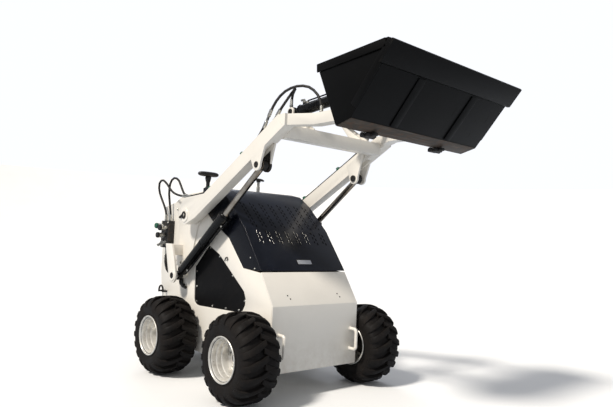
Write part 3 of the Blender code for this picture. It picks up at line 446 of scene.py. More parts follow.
def grid_faces(rows, columns, wrap_rows=False, wrap_columns=False):
    """Quads that join a grid of points, optionally wrapping in either direction."""
    r = np.arange(rows if wrap_rows else rows - 1)
    c = np.arange(columns if wrap_columns else columns - 1)
    r, c = np.meshgrid(r, c, indexing="ij")
    r2, c2 = (r + 1) % rows, (c + 1) % columns
    quads = np.stack([r * columns + c, r2 * columns + c, r2 * columns + c2, r * columns + c2], -1)
    return quads.reshape(-1, 4).tolist()


def filled_faces(rows, columns):
    """Quads round a stack of closed rings, with the first and last ring filled."""
    last = (rows - 1) * columns
    return grid_faces(rows, columns, False, True) + [list(range(columns))[::-1],
                                                     list(range(last, last + columns))]


def frame_of(axis):
    """Two directions square to an axis, and the axis itself, all of length one."""
    axis = np.asarray(axis, float) / np.linalg.norm(axis)
    helper = np.array([0, 0, 1.0]) if abs(axis[2]) < 0.9 else np.array([1.0, 0, 0])
    first = np.cross(helper, axis)
    first /= np.linalg.norm(first)
    return first, np.cross(axis, first), axis


def lathe(profile, centre, axis, segments=32, closed=False):
    """A profile of (radius, height) turned about an axis: point = centre + height * axis +
    radius * (cos a, sin a) across it. An open profile's two ends are filled."""
    first, second, axis = frame_of(axis)
    profile = np.asarray(profile, float)
    angles = np.linspace(0, math.tau, segments, endpoint=False)
    across = np.cos(angles)[:, None] * first + np.sin(angles)[:, None] * second
    verts = (np.asarray(centre, float) + profile[:, None, 1:2] * axis
             + profile[:, None, 0:1] * across[None]).reshape(-1, 3)
    return verts, (grid_faces(len(profile), segments, True, True) if closed
                   else filled_faces(len(profile), segments))


def bolt(centre, axis, width=0.017, height=0.008):
    """A hex bolt on its washer: six flats under a chamfer, over a round disc of 1.25 widths."""
    disc = lathe([(width * 0.62, 0), (width * 0.62, 0.0016), (width * 0.55, 0.0022)], centre,
                 axis, 16)
    head = lathe([(width * 0.56, 0.0018), (width * 0.56, height * 0.8), (width * 0.44, height)],
                 centre, axis, 6)
    return join([disc, head])


def dome_bolt(centre, axis, radius=0.006, height=0.003):
    """A button-head screw: a dome with a small socket."""
    steps = np.linspace(0, 1, 5)
    dome = [(radius * math.cos(t * 1.2), height * math.sin(t * 1.57)) for t in steps]
    return lathe([(radius, -0.001)] + dome + [(radius * 0.30, height),
                                              (radius * 0.28, height * 0.5)], centre, axis, 12)


def tube_along(path, radius, segments=12, taper=None):
    """A round section carried along a path of points, turned as little as possible between them,
    with filled ends. taper scales the radius at each point."""
    path = np.asarray(path, float)
    along = np.gradient(path, axis=0)
    along /= np.linalg.norm(along, axis=1)[:, None]
    side = frame_of(along[0])[0]
    sides = []
    for direction in along:
        side = side - direction * side.dot(direction)
        side /= np.linalg.norm(side)
        sides.append(side)
    sides = np.array(sides)
    ups = np.cross(along, sides)
    angles = np.linspace(0, math.tau, segments, endpoint=False)
    scale = radius * (np.ones(len(path)) if taper is None else np.asarray(taper, float))
    ring = (np.cos(angles)[None, :, None] * sides[:, None] + np.sin(angles)[None, :, None]
            * ups[:, None]) * scale[:, None, None]
    return (path[:, None] + ring).reshape(-1, 3), filled_faces(len(path), segments)


def rounded_slab(low, high, radius=0.003, steps=3, edge=None):
    """A block whose section across Z is a rectangle with round corners, and whose bottom and top
    draw in over a quarter circle of the edge radius."""
    low, high = np.asarray(low, float), np.asarray(high, float)
    radius = min(radius, (high[0] - low[0]) / 2.01, (high[1] - low[1]) / 2.01)
    edge = min(edge or radius, (high[2] - low[2]) / 2.01, radius * 0.95)
    rise = np.linspace(0, math.pi / 2, steps + 1)
    levels = [(edge * (1 - math.sin(a)), low[2] + edge * (1 - math.cos(a))) for a in rise]
    levels += [(inset, low[2] + high[2] - z) for inset, z in levels[::-1]]
    corner = np.linspace(0, math.pi / 2, steps + 1)
    centres = ((high[0] - radius, high[1] - radius), (low[0] + radius, high[1] - radius),
               (low[0] + radius, low[1] + radius), (high[0] - radius, low[1] + radius))
    loops = []
    for inset, z in levels:
        for k, (cx, cy) in enumerate(centres):
            turn = corner + k * math.pi / 2
            reach = radius - inset
            loops.append(np.stack([cx + reach * np.cos(turn), cy + reach * np.sin(turn),
                                   np.full(len(turn), z)], -1))
    return np.concatenate(loops), filled_faces(len(levels), 4 * (steps + 1))


def moved(part, matrix):
    """A part's points turned and moved by a 4x4 matrix."""
    verts, faces = part
    m = np.array(matrix, float)
    return verts @ m[:3, :3].T + m[:3, 3], faces


def placed(origin, x_axis, z_axis):
    """A matrix that puts a part's X and Z along two directions at an origin."""
    x = np.asarray(x_axis, float) / np.linalg.norm(x_axis)
    z = np.asarray(z_axis, float)
    z = z - x * z.dot(x)
    z /= np.linalg.norm(z)
    m = np.eye(4)
    m[:3, 0], m[:3, 1], m[:3, 2], m[:3, 3] = x, np.cross(z, x), z, origin
    return m


def slab_at(spot, *slab):
    """A rounded slab moved by a matrix."""
    return moved(rounded_slab(*slab), spot)


def heading(start, end):
    """How far one point is from another, and the direction to it, of length one."""
    run = np.array(end, float) - np.array(start, float)
    span = np.linalg.norm(run)
    return span, run / span


def smooth_route(points, spacing):
    """Even steps along a smooth curve that passes through the given points."""
    points = [Vector(p) for p in points]
    padded = [2 * points[0] - points[1]] + points + [2 * points[-1] - points[-2]]
    fine = []
    for before, start, end, after in zip(padded, padded[1:], padded[2:], padded[3:]):
        for k in range(24):
            t = k / 24
            fine.append(0.5 * (2 * start + (end - before) * t
                               + (2 * before - 5 * start + 4 * end - after) * t * t
                               + (3 * start - before - 3 * end + after) * t ** 3))
    fine.append(points[-1])
    travelled = [0.0]
    for first, second in zip(fine, fine[1:]):
        travelled.append(travelled[-1] + (second - first).length)
    count = max(8, round(travelled[-1] / spacing))
    route, place = [], 0
    for k in range(count + 1):
        target = travelled[-1] * k / count
        while place < len(fine) - 2 and travelled[place + 1] < target:
            place += 1
        share = (target - travelled[place]) / (travelled[place + 1] - travelled[place])
        route.append(fine[place].lerp(fine[place + 1], min(max(share, 0.0), 1.0)))
    return route


def arm_edge(x, rise):
    """Height at x of a line a given distance over the arm's upper edge."""
    c, s = math.cos(ARM_SLOPE), math.sin(ARM_SLOPE)
    start_x = ARM_PIVOT[0] - ARM_RISE * s
    heel = ARM_PIVOT[1] + ARM_RISE * c + (ARM_HEEL_X - start_x) * s / c
    if x >= ARM_HEEL_X:
        return ARM_PIVOT[1] + ARM_RISE * c + (x - start_x) * s / c + rise / c
    share = (x - ARM_TAIL[0]) / (ARM_HEEL_X - ARM_TAIL[0])
    return ARM_TAIL[1] + share * (heel - ARM_TAIL[1]) + rise


def rounded_copy(node, finish, width, segments=2):
    """A copy of a CAD node with its loose triangles joined, flat faces merged and every sharp edge
    rolled over with a small radius."""
    source = frame["nodes"][node]
    shell = bmesh.new()
    shell.from_mesh(source.data)
    bmesh.ops.remove_doubles(shell, verts=shell.verts, dist=2e-5)
    bmesh.ops.dissolve_limit(shell, angle_limit=math.radians(1.0), verts=shell.verts,
                             edges=shell.edges)
    mesh = bpy.data.meshes.new(node + "_rolled")
    shell.to_mesh(mesh)
    shell.free()
    mesh.shade_smooth()
    mesh.materials.clear()
    mesh.materials.append(FINISH[finish])
    thing = bpy.data.objects.new(node + "_rolled", mesh)
    bpy.context.scene.collection.objects.link(thing)
    step = thing.modifiers.new("rolled_edge", "BEVEL")
    step.width = width
    step.segments = segments
    step.limit_method = "ANGLE"
    step.angle_limit = math.radians(32)
    step.harden_normals = True
    step.use_clamp_overlap = True
    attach(thing, source["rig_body"])
    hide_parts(node)


def cover(node, finish):
    """Give a CAD node a finish."""
    mesh = frame["nodes"][node].data
    mesh.materials.clear()
    mesh.materials.append(FINISH[finish])


def wheels():
    """Each wheel's name, its side's sign and its centre."""
    for end, x in (("front", WHEELBASE / 2), ("rear", -WHEELBASE / 2)):
        for side, sign in SIDES:
            yield f"{end}_{side}", sign, np.array([x, sign * TRACK_HALF, TYRE_RADIUS])


# ---------------------------------------------------------------- operators
class LoaderStep:
    """What every step shares: it reads the settings and builds its pieces."""
    bl_options = {"REGISTER", "UNDO"}

    def execute(self, context):
        self.build(context.scene.loader_colours, context.scene.loader_sizes)
        return {"FINISHED"}


class LOADER_OT_stage(LoaderStep, bpy.types.Operator):
    """Camera, soft key light, pale sky and a pale floor whose far rim curves up"""
    bl_idname = "loader.stage"
    bl_label = "Stage"

    def build(self, colours, sizes):
        scene = bpy.context.scene
        scene.view_settings.view_transform = "Standard"
        yaw, pitch, roll = (math.radians(a) for a in (138.78, 3.51, 2.48))
        ahead = Vector((math.cos(yaw) * math.cos(pitch), math.sin(yaw) * math.cos(pitch),
                        math.sin(pitch)))
        level = Vector((math.sin(yaw), -math.cos(yaw), 0))
        rise = level.cross(ahead)
        right = level * math.cos(roll) + rise * math.sin(roll)
        up = rise * math.cos(roll) - level * math.sin(roll)
        camera = bpy.data.cameras.new("view")
        camera.sensor_width = 36.0
        camera.lens = 575.4 / 613 * 36.0          # focal length over width, times the sensor
        camera.clip_end = 60.0
        eye = bpy.data.objects.new("view", camera)
        turn = Matrix((right, up, -ahead)).transposed().to_4x4()
        eye.matrix_world = Matrix.Translation((2.786 - SHIFT, -2.144, 0.836)) @ turn
        scene.collection.objects.link(eye)
        scene.camera = eye

        # sky: nearly white to the camera, and a third as strong as a light
        world = bpy.data.worlds.new("pale_sky")
        world.use_nodes = True
        tree = world.node_tree
        sky = tree.nodes["Background"]
        sky.inputs["Color"].default_value = linear("F8FAFF")
        seen = put(tree, "ShaderNodeLightPath").outputs["Is Camera Ray"]
        tree.links.new(ramped(tree, seen, 0, 1, 0.36, 1.05), sky.inputs["Strength"])
        scene.world = world

        for name, aim, power, spread, tint in (
                ("key", (0.05, -0.67, 0.74), sizes.key_strength, 9.0, "FFF9F0"),
                ("rim", (-0.70, 0.35, 0.62), 0.5, 25.0, "EEF3FF")):
            lamp = bpy.data.lights.new(name, "SUN")
            lamp.energy = power
            lamp.angle = math.radians(spread)
            lamp.color = linear(tint)[:3]
            thing = bpy.data.objects.new(name, lamp)
            thing.rotation_euler = Vector(aim).to_track_quat("Z", "Y").to_euler()
            scene.collection.objects.link(thing)

        # floor: height is nothing out to 7 m, then grows with the square of what is beyond
        flat, segments = 7, 72
        reach = np.concatenate([np.linspace(0.01, flat, 8), np.linspace(flat + 0.5, 14, 14)])
        turnings = np.linspace(0, math.tau, segments, endpoint=False)
        height = 0.05 * np.clip(reach - flat, 0, None) ** 2
        verts = np.stack([reach[:, None] * np.cos(turnings), reach[:, None] * np.sin(turnings),
                          np.repeat(height[:, None], segments, 1) - 0.0005], -1)
        faces = grid_faces(len(reach), segments, False, True) + [list(range(segments))]
        new_piece("studio_floor", "floor", None, (verts, faces))


class LOADER_OT_tyres(LoaderStep, bpy.types.Operator):
    """Four lugged tyres: a turned carcass with long slanted tread bars that wrap its shoulders"""
    bl_idname = "loader.tyres"
    bl_label = "Tyres"

    def build(self, colours, sizes):
        for name, _, centre in wheels():
            tyre = new_piece(name + "_tyre_lugged", "tyre", name + "_wheel",
                             *self.tyre(centre, sizes), smooth=30)
            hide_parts(name + "_tyre")

    def tyre(self, centre, sizes):
        """Carcass: a closed profile turned about the axle. Bars: at each share t of its width a
        bar sits at the angle start + slant * t, with its top on the outer radius, dropping round
        the shoulder, and its foot inside the carcass."""
        base = TYRE_RADIUS - sizes.lug_height
        half = [(0.1040, 0.1035), (0.1075, 0.1060), (0.1180, 0.1070), (0.1200, 0.1095),
                (0.1235, 0.1098), (0.1260, 0.1080), (0.1380, 0.1115), (0.1520, 0.1130),
                (0.1660, 0.1125), (0.1790, 0.1095), (0.1900, 0.1030), (0.1985, 0.0925),
                (base - 0.004, 0.0760), (base, 0.0420), (base + 0.001, 0.0)]
        parts = [lathe(half + [(r, -y) for r, y in half[-2::-1]], centre, (0, 1, 0), 84, True)]
        share = np.array([0, 0.3, 0.55, 0.74, 0.86, 0.95, 1.0])
        # (distance from the middle plane, drop from the outer radius or from the carcass)
        top = [0, TYRE_RADIUS] - np.array([
            (0.010, 0.0004), (-0.026, 0.0002), (-0.058, 0.0025), (-0.082, 0.0105),
            (-0.1000, 0.0225), (-0.1110, 0.0385), (-0.1140, 0.0560)])
        foot = [0, base] - np.array([
            (0.010, 0.006), (-0.026, 0.006), (-0.056, 0.008), (-0.074, 0.014), (-0.088, 0.024),
            (-0.099, 0.036), (-0.105, 0.046)])
        wide_top = (0.0140 + 0.0045 * share) / TYRE_RADIUS
        wide_foot = wide_top + 0.004 / TYRE_RADIUS
        chamfer = top - [0, 0.002]
        section = ((foot, -wide_foot), (chamfer, -wide_top), (top, -wide_top * 0.72),
                   (top, wide_top * 0.72), (chamfer, wide_top), (foot, wide_foot))
        for row in (1, -1):
            for k in range(sizes.lug_count):
                start = math.tau * (k + (0.5 if row < 0 else 0)) / sizes.lug_count
                middle = start - 0.25 * share ** 0.85
                ring = [np.stack([line[:, 1] * np.cos(middle + wide), row * line[:, 0],
                                  line[:, 1] * np.sin(middle + wide)], -1)
                        for line, wide in section]
                parts.append((np.stack(ring, 1).reshape(-1, 3) + centre,
                              filled_faces(len(share), len(section))))
        return parts


class LOADER_OT_rims(LoaderStep, bpy.types.Operator):
    """Four pressed rims with a stepped deep dish, a hub cap, five wheel bolts and a valve"""
    bl_idname = "loader.rims"
    bl_label = "Rims"

    def build(self, colours, sizes):
        profile = [(0.030, 0.019), (0.034, 0.0235), (0.046, 0.0225), (0.052, 0.0150),
                   (0.070, 0.0110), (0.0790, 0.0140), (0.0835, 0.0240), (0.0845, 0.0440),
                   (0.0875, 0.0500), (0.0905, 0.0520), (0.0915, 0.0700), (0.0945, 0.0765),
                   (0.0975, 0.0785), (0.0985, 0.0930), (0.1010, 0.1010), (0.1060, 0.1045),
                   (0.1080, 0.1110), (0.1105, 0.1136), (0.1135, 0.1138), (0.1154, 0.1120),
                   (0.1150, 0.1085), (0.1110, 0.1060), (0.1075, 0.1050), (0.1036, 0.0990),
                   (0.1036, -0.0990), (0.1075, -0.1050), (0.1150, -0.1085), (0.1154, -0.1120),
                   (0.1135, -0.1138), (0.1105, -0.1136), (0.1060, -0.1060), (0.1000, -0.1010),
                   (0.0985, -0.0200), (0.0820, 0.0040), (0.0640, 0.0065), (0.030, 0.0070)]
        cap = [(0.0305, 0.008), (0.0305, 0.0200), (0.0290, 0.0265), (0.0220, 0.0300),
               (0.0200, 0.0290), (0.0185, 0.0305), (0.0080, 0.0320), (0.0020, 0.0322)]
        bolt_circle = 0.061
        angles = math.tau * (np.arange(5) / 5 + 0.07)
        for name, sign, centre in wheels():
            axis, body = (0, sign, 0), name + "_wheel"
            rim = new_piece(name + "_rim_dished", "rim", body,
                            lathe(profile, centre, axis, 72, True), smooth=28)
            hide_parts(name + "_rim")
            new_piece(name + "_rim_hub_cap", "iron", body, lathe(cap, centre, axis, 32))
            bolts = [bolt(centre + np.array([bolt_circle * math.cos(a), sign * 0.0125,
                                             bolt_circle * math.sin(a)]), axis, 0.019, 0.013)
                     for a in angles]
            valve = tube_along([centre + np.array([0.0, sign * y, z]) for y, z in (
                (0.040, 0.0850), (0.062, 0.0800), (0.082, 0.0790))], 0.0035, 10)
            new_piece(name + "_rim_bolts", "zinc", body, *bolts, valve)


class LOADER_OT_plates(LoaderStep, bpy.types.Operator):
    """Body sheets, arms, lugs and bucket with their edges rolled over, each in its own coat"""
    bl_idname = "loader.plates"
    bl_label = "Plates and tubes"

    def build(self, colours, sizes):
        thin = ("rear_panel", "attach_plate", "belly_pan")
        cream = ["front_panel", "belly_pan", "rear_panel", "control_console", "arm_cross_tube",
                 "attach_plate"]
        for side, _ in SIDES:
            cream += [f"{side}_side_frame", f"{side}_tower_plate", f"{side}_cylinder_lug",
                      f"{side}_lift_arm"]
        for node in cream:
            rounded_copy(node, "cream", sizes.edge_radius * (0.6 if node in thin else 1.0))
        rounded_copy("hood", "hood", 0.006, segments=3)
        rounded_copy("bucket_shell", "bucket", 0.0018)
        rounded_copy("cutting_edge", "bucket", 0.0015)
        rounded_copy("coupler_block", "iron", 0.002)
        rounded_copy("engine_block", "iron", 0.006)
        for side, _ in SIDES:
            cover(f"{side}_side_grille", "grille")
            cover(f"{side}_front_handle", "cream")
            cover(f"{side}_tie_ring", "iron")
            for kind in ("lift", "tilt"):
                cover(f"{side}_{kind}_barrel", "cylinder")
                cover(f"{side}_{kind}_rod", "rod")
            for end in ("front", "rear"):
                cover(f"{end}_{side}_drive_hub", "iron")
        cover("operator_platform", "iron")


HOOD_LINE = [(0.356, 0.656), (0.257, 0.788), (0.183, 0.886), (0.018, 1.038)]


class LOADER_OT_hood_trim(LoaderStep, bpy.types.Operator):
    """Paired vent slots down the hood's slope, its blank plate, and its side screws"""
    bl_idname = "loader.hood_trim"
    bl_label = "Hood trim"

    def build(self, colours, sizes):
        length, width = sizes.slot_length, 0.0065
        gap = 0.012                               # between two slots of a column
        dark, painted_glints = [], []
        columns = np.arange(-3.5, 4.0) * 0.068 + 0.008
        for part, (start, end) in enumerate(((HOOD_LINE[3], HOOD_LINE[2]),
                                             (HOOD_LINE[2], HOOD_LINE[1]))):
            span, along = heading(start, end)
            count = int((span - 0.010) / (length + gap))
            first = (span - count * (length + gap) + gap) / 2 + length / 2
            normal = np.array([-along[1], along[0]])
            for column in columns:
                for twin in (-1, 1):
                    for k in range(count):
                        slide = first + k * (length + gap) + twin * 0.006
                        x, z = np.array(start) + along * slide + normal * 0.0002
                        spot = placed((x, column + twin * 0.0095, z), (along[0], 0, along[1]),
                                      (normal[0], 0, normal[1]))
                        dark.append(slab_at(spot, (-length / 2, -width / 2, -0.0004),
                                            (length / 2, width / 2, 0.0004), width / 2, 2,
                                            0.0002))
                        # painted highlight: on the lower slots of the near columns only, a pale
                        # zinc strip along one edge stands for the pressed slot edge catching the
                        # light
                        if part == 1 and column < 0.12:
                            painted_glints.append(slab_at(spot, (-length / 2, width / 2 - 0.0016, 0),
                                                (length / 2, width / 2 + 0.0004, 0.0009),
                                                0.0008, 1, 0.0003))
        # painted shade: the vent slots are near-black patches laid on the hood, not openings
        new_piece("hood_vent_slots", "gap", "hood", *dark)
        new_piece("hood_slot_painted_glints", "zinc", "hood", *painted_glints, slot="hood_paint")

        _, along = heading(HOOD_LINE[0], HOOD_LINE[1])
        normal = np.array([along[1], -along[0]])
        x, z = np.array(HOOD_LINE[0]) + along * 0.058 + normal * 0.0003
        spot = placed((x, 0.018, z), (0, 1, 0), (normal[0], 0, normal[1]))
        new_piece("hood_plate_frame", "grip", "hood",
                  slab_at(spot, (-0.056, -0.018, 0), (0.056, 0.018, 0.0012), 0.003, 2, 0.0005))
        new_piece("hood_plate", "plate", "hood",
                  slab_at(spot, (-0.051, -0.0135, 0.0012), (0.051, 0.0135, 0.0022), 0.002, 2,
                          0.0004))
        screws = []
        for _, sign in SIDES:
            for distance in (0.05, 0.12):
                x, z = np.array(HOOD_LINE[0]) + along * distance - 0.030
                screws.append(dome_bolt((x, sign * 0.3098, z), (0, sign, 0), 0.0055))
        new_piece("hood_side_screws", "zinc", "hood", *screws)


class LOADER_OT_side_trim(LoaderStep, bpy.types.Operator):
    """Grille bolts, the small hook on the slanted band, nose screws and weld beads"""
    bl_idname = "loader.side_trim"
    bl_label = "Side and nose trim"

    def build(self, colours, sizes):
        heads, beads, hooks = [], [], []
        for _, sign in SIDES:
            face = sign * (BODY_HALF - 0.008 - SEAT_GAP)
            for x, z in ((-0.302, 0.610), (-0.296, 0.520), (-0.288, 0.430), (-0.110, 0.422),
                         (0.030, 0.425), (0.160, 0.430), (0.212, 0.485), (0.085, 0.612),
                         (-0.055, 0.712), (-0.160, 0.760)):
                heads.append(bolt((x, face, z), (0, sign, 0), 0.010, 0.005))
            for x, z in ((-0.545, 0.662), (-0.420, 0.665), (-0.552, 0.990)):
                heads.append(bolt((x, sign * (BODY_HALF + 0.0083), z), (0, sign, 0), 0.012,
                                  0.006))
            hook = [(0.012, 0.690), (0.018, 0.707), (0.034, 0.712), (0.042, 0.702),
                    (0.032, 0.694)]
            route = smooth_route([(x, sign * (BODY_HALF + 0.004), z) for x, z in hook], 0.003)
            hooks.append(tube_along(route, 0.0026, 8))
            for y, line in ((0.3108, [(-0.3755, 0.640), (-0.3485, 0.722), (-0.3015, 0.880)]),
                            (0.3108, [(-0.566, 0.6375), (-0.374, 0.6375)]),
                            (0.3190, [(-0.519, 0.699), (-0.462, 0.699), (-0.4612, 0.765)])):
                beads.append(self.bead([(x, sign * y, z) for x, z in line]))
            for z in (0.224, 0.336):
                beads.append(lathe([(0.0088, 0), (0.0135, 0.0004), (0.0125, 0.0028),
                                    (0.0092, 0.0042)], (NOSE_X, sign * 0.262, z), (1, 0, 0), 20,
                                   True))
        new_piece("side_bolts", "zinc", "chassis", *heads)
        new_piece("side_hooks", "iron", "chassis", *hooks)
        new_piece("body_weld_beads", "weld", "chassis", *beads)
        low, high = np.array((NOSE_X, 0.482)), np.array((0.356, 0.651))
        _, along = heading(low, high)
        screws = []
        for y, share in ((-0.188, 0.30), (-0.176, 0.20), (0.176, 0.30), (0.188, 0.20)):
            x, z = low + (high - low) * share
            screws.append(dome_bolt((x, y, z), (along[1], 0, -along[0]), 0.0042, 0.0022))
        new_piece("nose_screws", "iron", "chassis", *screws)

    def bead(self, points):
        """A ripple of weld along a line: a thin tube whose radius swells every 4 mm."""
        route = smooth_route(points, 0.004)
        return tube_along(route, 0.0021, 8, 1 + 0.18 * np.sin(np.arange(len(route)) * 2.2))


class LOADER_OT_pivots(LoaderStep, bpy.types.Operator):
    """Pin ends, keeper plates and raised boss rings at every pivot"""
    bl_idname = "loader.pivots"
    bl_label = "Pivot pins"

    def ring(self, centre, axis, inner, outer, height):
        return lathe([(inner, -0.0002), (outer, -0.0002), (outer, height - 0.0012),
                      (outer - 0.0012, height), (inner + 0.001, height), (inner, height - 0.001)],
                     centre, axis, 36, True)

    def head(self, pivot, y, axis_y, radius, height):
        """A pin's chamfered end, with a shallow recess in its middle."""
        return lathe([(radius, -0.001), (radius, height - 0.0015), (radius - 0.0015, height),
                      (radius * 0.45, height), (radius * 0.40, height - 0.002),
                      (0.0008, height - 0.002)], (pivot[0], y, pivot[1]), (0, axis_y, 0), 28)

    def ear_shade_plate(self, sign):
        """Painted shade: a dark plate laid over the arm's inner ear where that ear lies in shade:
        a half circle round the pin, run up to the arm."""
        along = np.array([math.cos(ARM_SLOPE), math.sin(ARM_SLOPE)])
        across = np.array([-along[1], along[0]])
        turn = np.radians(np.linspace(-165, 15, 21))
        middle = np.array(LIFT_EYE)
        outline = [middle + 0.0335 * np.array([math.cos(a), math.sin(a)]) for a in turn]
        outline += [middle + along * reach + across * 0.052 for reach in (0.066, -0.052)]
        rings = [[(x, sign * y, z) for x, z in outline] for y in (0.3352, 0.3212)]
        return np.array(rings).reshape(-1, 3), filled_faces(2, len(outline))

    def keeper(self, centre, sign, angle):
        """A flat flag on a pin's head, held by one bolt."""
        c, s = math.cos(angle), math.sin(angle)
        flag = slab_at(placed(centre, (c, 0, s), (0, sign, 0)), (-0.008, -0.009, 0),
                       (0.040, 0.009, 0.003), 0.008, 4, 0.0008)
        end = np.asarray(centre) + np.array([0.032 * c, sign * 0.003, 0.032 * s])
        return join([flag, bolt(end, (0, sign, 0), 0.011, 0.005)])

    def build(self, colours, sizes):
        pin_y = 0.4052                            # where the big pins' heads start
        for side, sign in SIDES:
            out = (0, sign, 0)
            new_piece(f"{side}_arm_pivot_ring", "cream", "lift_arms",
                      self.ring((ARM_PIVOT[0], sign * ARM_OUTER_Y, ARM_PIVOT[1]), out, 0.0235,
                                0.043, 0.0045))
            new_piece(f"{side}_arm_pivot_pin", "iron", "chassis",
                      self.head(ARM_PIVOT, sign * pin_y, sign, 0.0222, 0.0036),
                      self.keeper((ARM_PIVOT[0] - 0.006, sign * (pin_y + 0.003), ARM_PIVOT[1]),
                                  sign, math.radians(205)))
            new_piece(f"{side}_lug_ring", "cream", "chassis",
                      self.ring((LIFT_BASE[0], sign * 0.403, LIFT_BASE[1]), out, 0.0185, 0.034,
                                0.0032))
            new_piece(f"{side}_lug_pin", "iron", "chassis",
                      self.head(LIFT_BASE, sign * pin_y, sign, 0.0182, 0.0038))
            new_piece(f"{side}_rod_pin_ends", "iron", "lift_arms",
                      self.head(LIFT_EYE, sign * ARM_OUTER_Y, sign, 0.0165, 0.0045),
                      self.head(LIFT_EYE, sign * ARM_INNER_Y, -sign, 0.019, 0.008))
            # painted shade: only the right arm's inner ear gets this dark plate, where it lies in
            # shade
            if sign < 0:
                new_piece("right_ear_shade_plate", "iron", "lift_arms", self.ear_shade_plate(sign))
            new_piece(f"{side}_rod_eye", "iron", f"{side}_lift_rod_body",
                      lathe([(0.0262, -0.0143), (0.0290, -0.0130), (0.0290, 0.0130),
                             (0.0262, 0.0143)], (LIFT_EYE[0], sign * LIFT_Y, LIFT_EYE[1]),
                            (0, 1, 0), 32, True))
            new_piece(f"{side}_bucket_pin_ends", "iron", "bucket",
                      self.head(TOOL_PIVOT, sign * 0.327, sign, 0.0165, 0.005),
                      self.head(TOOL_PIVOT, sign * 0.233, -sign, 0.0165, 0.005),
                      *self.fork(TILT_EYE, sign, 0.015))
            new_piece(f"{side}_tilt_base_pin_ends", "iron", "lift_arms",
                      *self.fork(TILT_BASE, sign, 0.0155))
            knee = [(0.5505, sign * 0.3992, 1.4445), (0.585, sign * 0.3992, 1.392)]
            new_piece(f"{side}_knee_weld", "weld", "lift_arms",
                      tube_along(smooth_route(knee, 0.004), 0.0016, 8))

    def fork(self, pivot, sign, radius):
        """The two ends of a tilt cylinder's pin, on its fork's outer faces."""
        return [self.head(pivot, sign * TILT_Y + turn * 0.031, turn, radius, 0.005)
                for turn in (1, -1)]


class LOADER_OT_cylinders(LoaderStep, bpy.types.Operator):
    """Gland nuts, wiper rings, steel lines and port elbows on the four cylinders"""
    bl_idname = "loader.cylinders"
    bl_label = "Cylinder fittings"

    def build(self, colours, sizes):
        for side, sign in SIDES:
            self.fit(f"{side}_lift", LIFT_BASE, LIFT_EYE, sign * LIFT_Y, 0.030, 0.607, 0.0175, -1)
            self.fit(f"{side}_tilt", TILT_BASE, TILT_EYE, sign * TILT_Y, 0.029, 0.345, 0.014, 1)

    def fit(self, name, base, eye, y, radius, length, rod, pipe_side):
        """Fittings on a barrel of a given radius and length with a rod of a given radius. The
        steel line runs under it if pipe_side is -1, and the port is on top."""
        body = name + "_barrel_body"
        start = np.array([base[0], y, base[1]])
        _, run = heading((base[0], 0, base[1]), (eye[0], 0, eye[1]))
        up = np.array([-run[2], 0, run[0]])
        low = pipe_side * up
        gland = lathe([(rod + 0.0008, -0.004), (radius + 0.0036, -0.004), (radius + 0.0042, 0.001),
                       (radius + 0.0042, 0.015), (radius + 0.002, 0.018), (radius - 0.004, 0.020),
                       (rod + 0.004, 0.026), (rod + 0.0008, 0.026)],
                      start + run * (length - 0.018), run, 24, True)
        band = lathe([(radius - 0.001, 0), (radius + 0.0022, 0.001), (radius + 0.0026, 0.0035),
                      (radius + 0.0022, 0.006), (radius - 0.001, 0.007)], start + run * 0.052,
                     run, 32, True)
        new_piece(name + "_gland", "cylinder", body, gland, band)
        foot, head = 0.105, length - 0.060        # where the steel line leaves the barrel
        line = [start + run * along + low * (radius + height) for along, height in (
            (foot, -0.002), (foot, 0.009), (foot + 0.015, 0.0115), (length * 0.5, 0.0115),
            (head - 0.015, 0.0115), (head, 0.009), (head, -0.002))]
        saddle = lathe([(radius - 0.001, 0), (radius + 0.0012, 0.0005),
                        (radius + 0.0012, 0.0115), (radius - 0.001, 0.012)],
                       start + run * length * 0.55, run, 32, True)
        new_piece(name + "_pipe", "cylinder", body,
                  tube_along(smooth_route(line, 0.006), 0.0042, 10), saddle)
        nuts = [lathe([(0.0085, -0.003), (0.0085, 0.008), (0.007, 0.0095)],
                      start + run * along + low * radius, low, 6) for along in (foot, head)]
        port = start + run * 0.080 + up * (radius + 0.010)
        elbow = smooth_route([port, port + up * 0.010, port + up * 0.014 - run * 0.006,
                              port + up * 0.015 - run * 0.024], 0.002)
        nuts.append(lathe([(0.0105, -0.004), (0.0105, 0.004), (0.009, 0.0055)], port, up, 6))
        new_piece(name + "_ports", "zinc", body, *nuts, tube_along(elbow, 0.0062, 10))


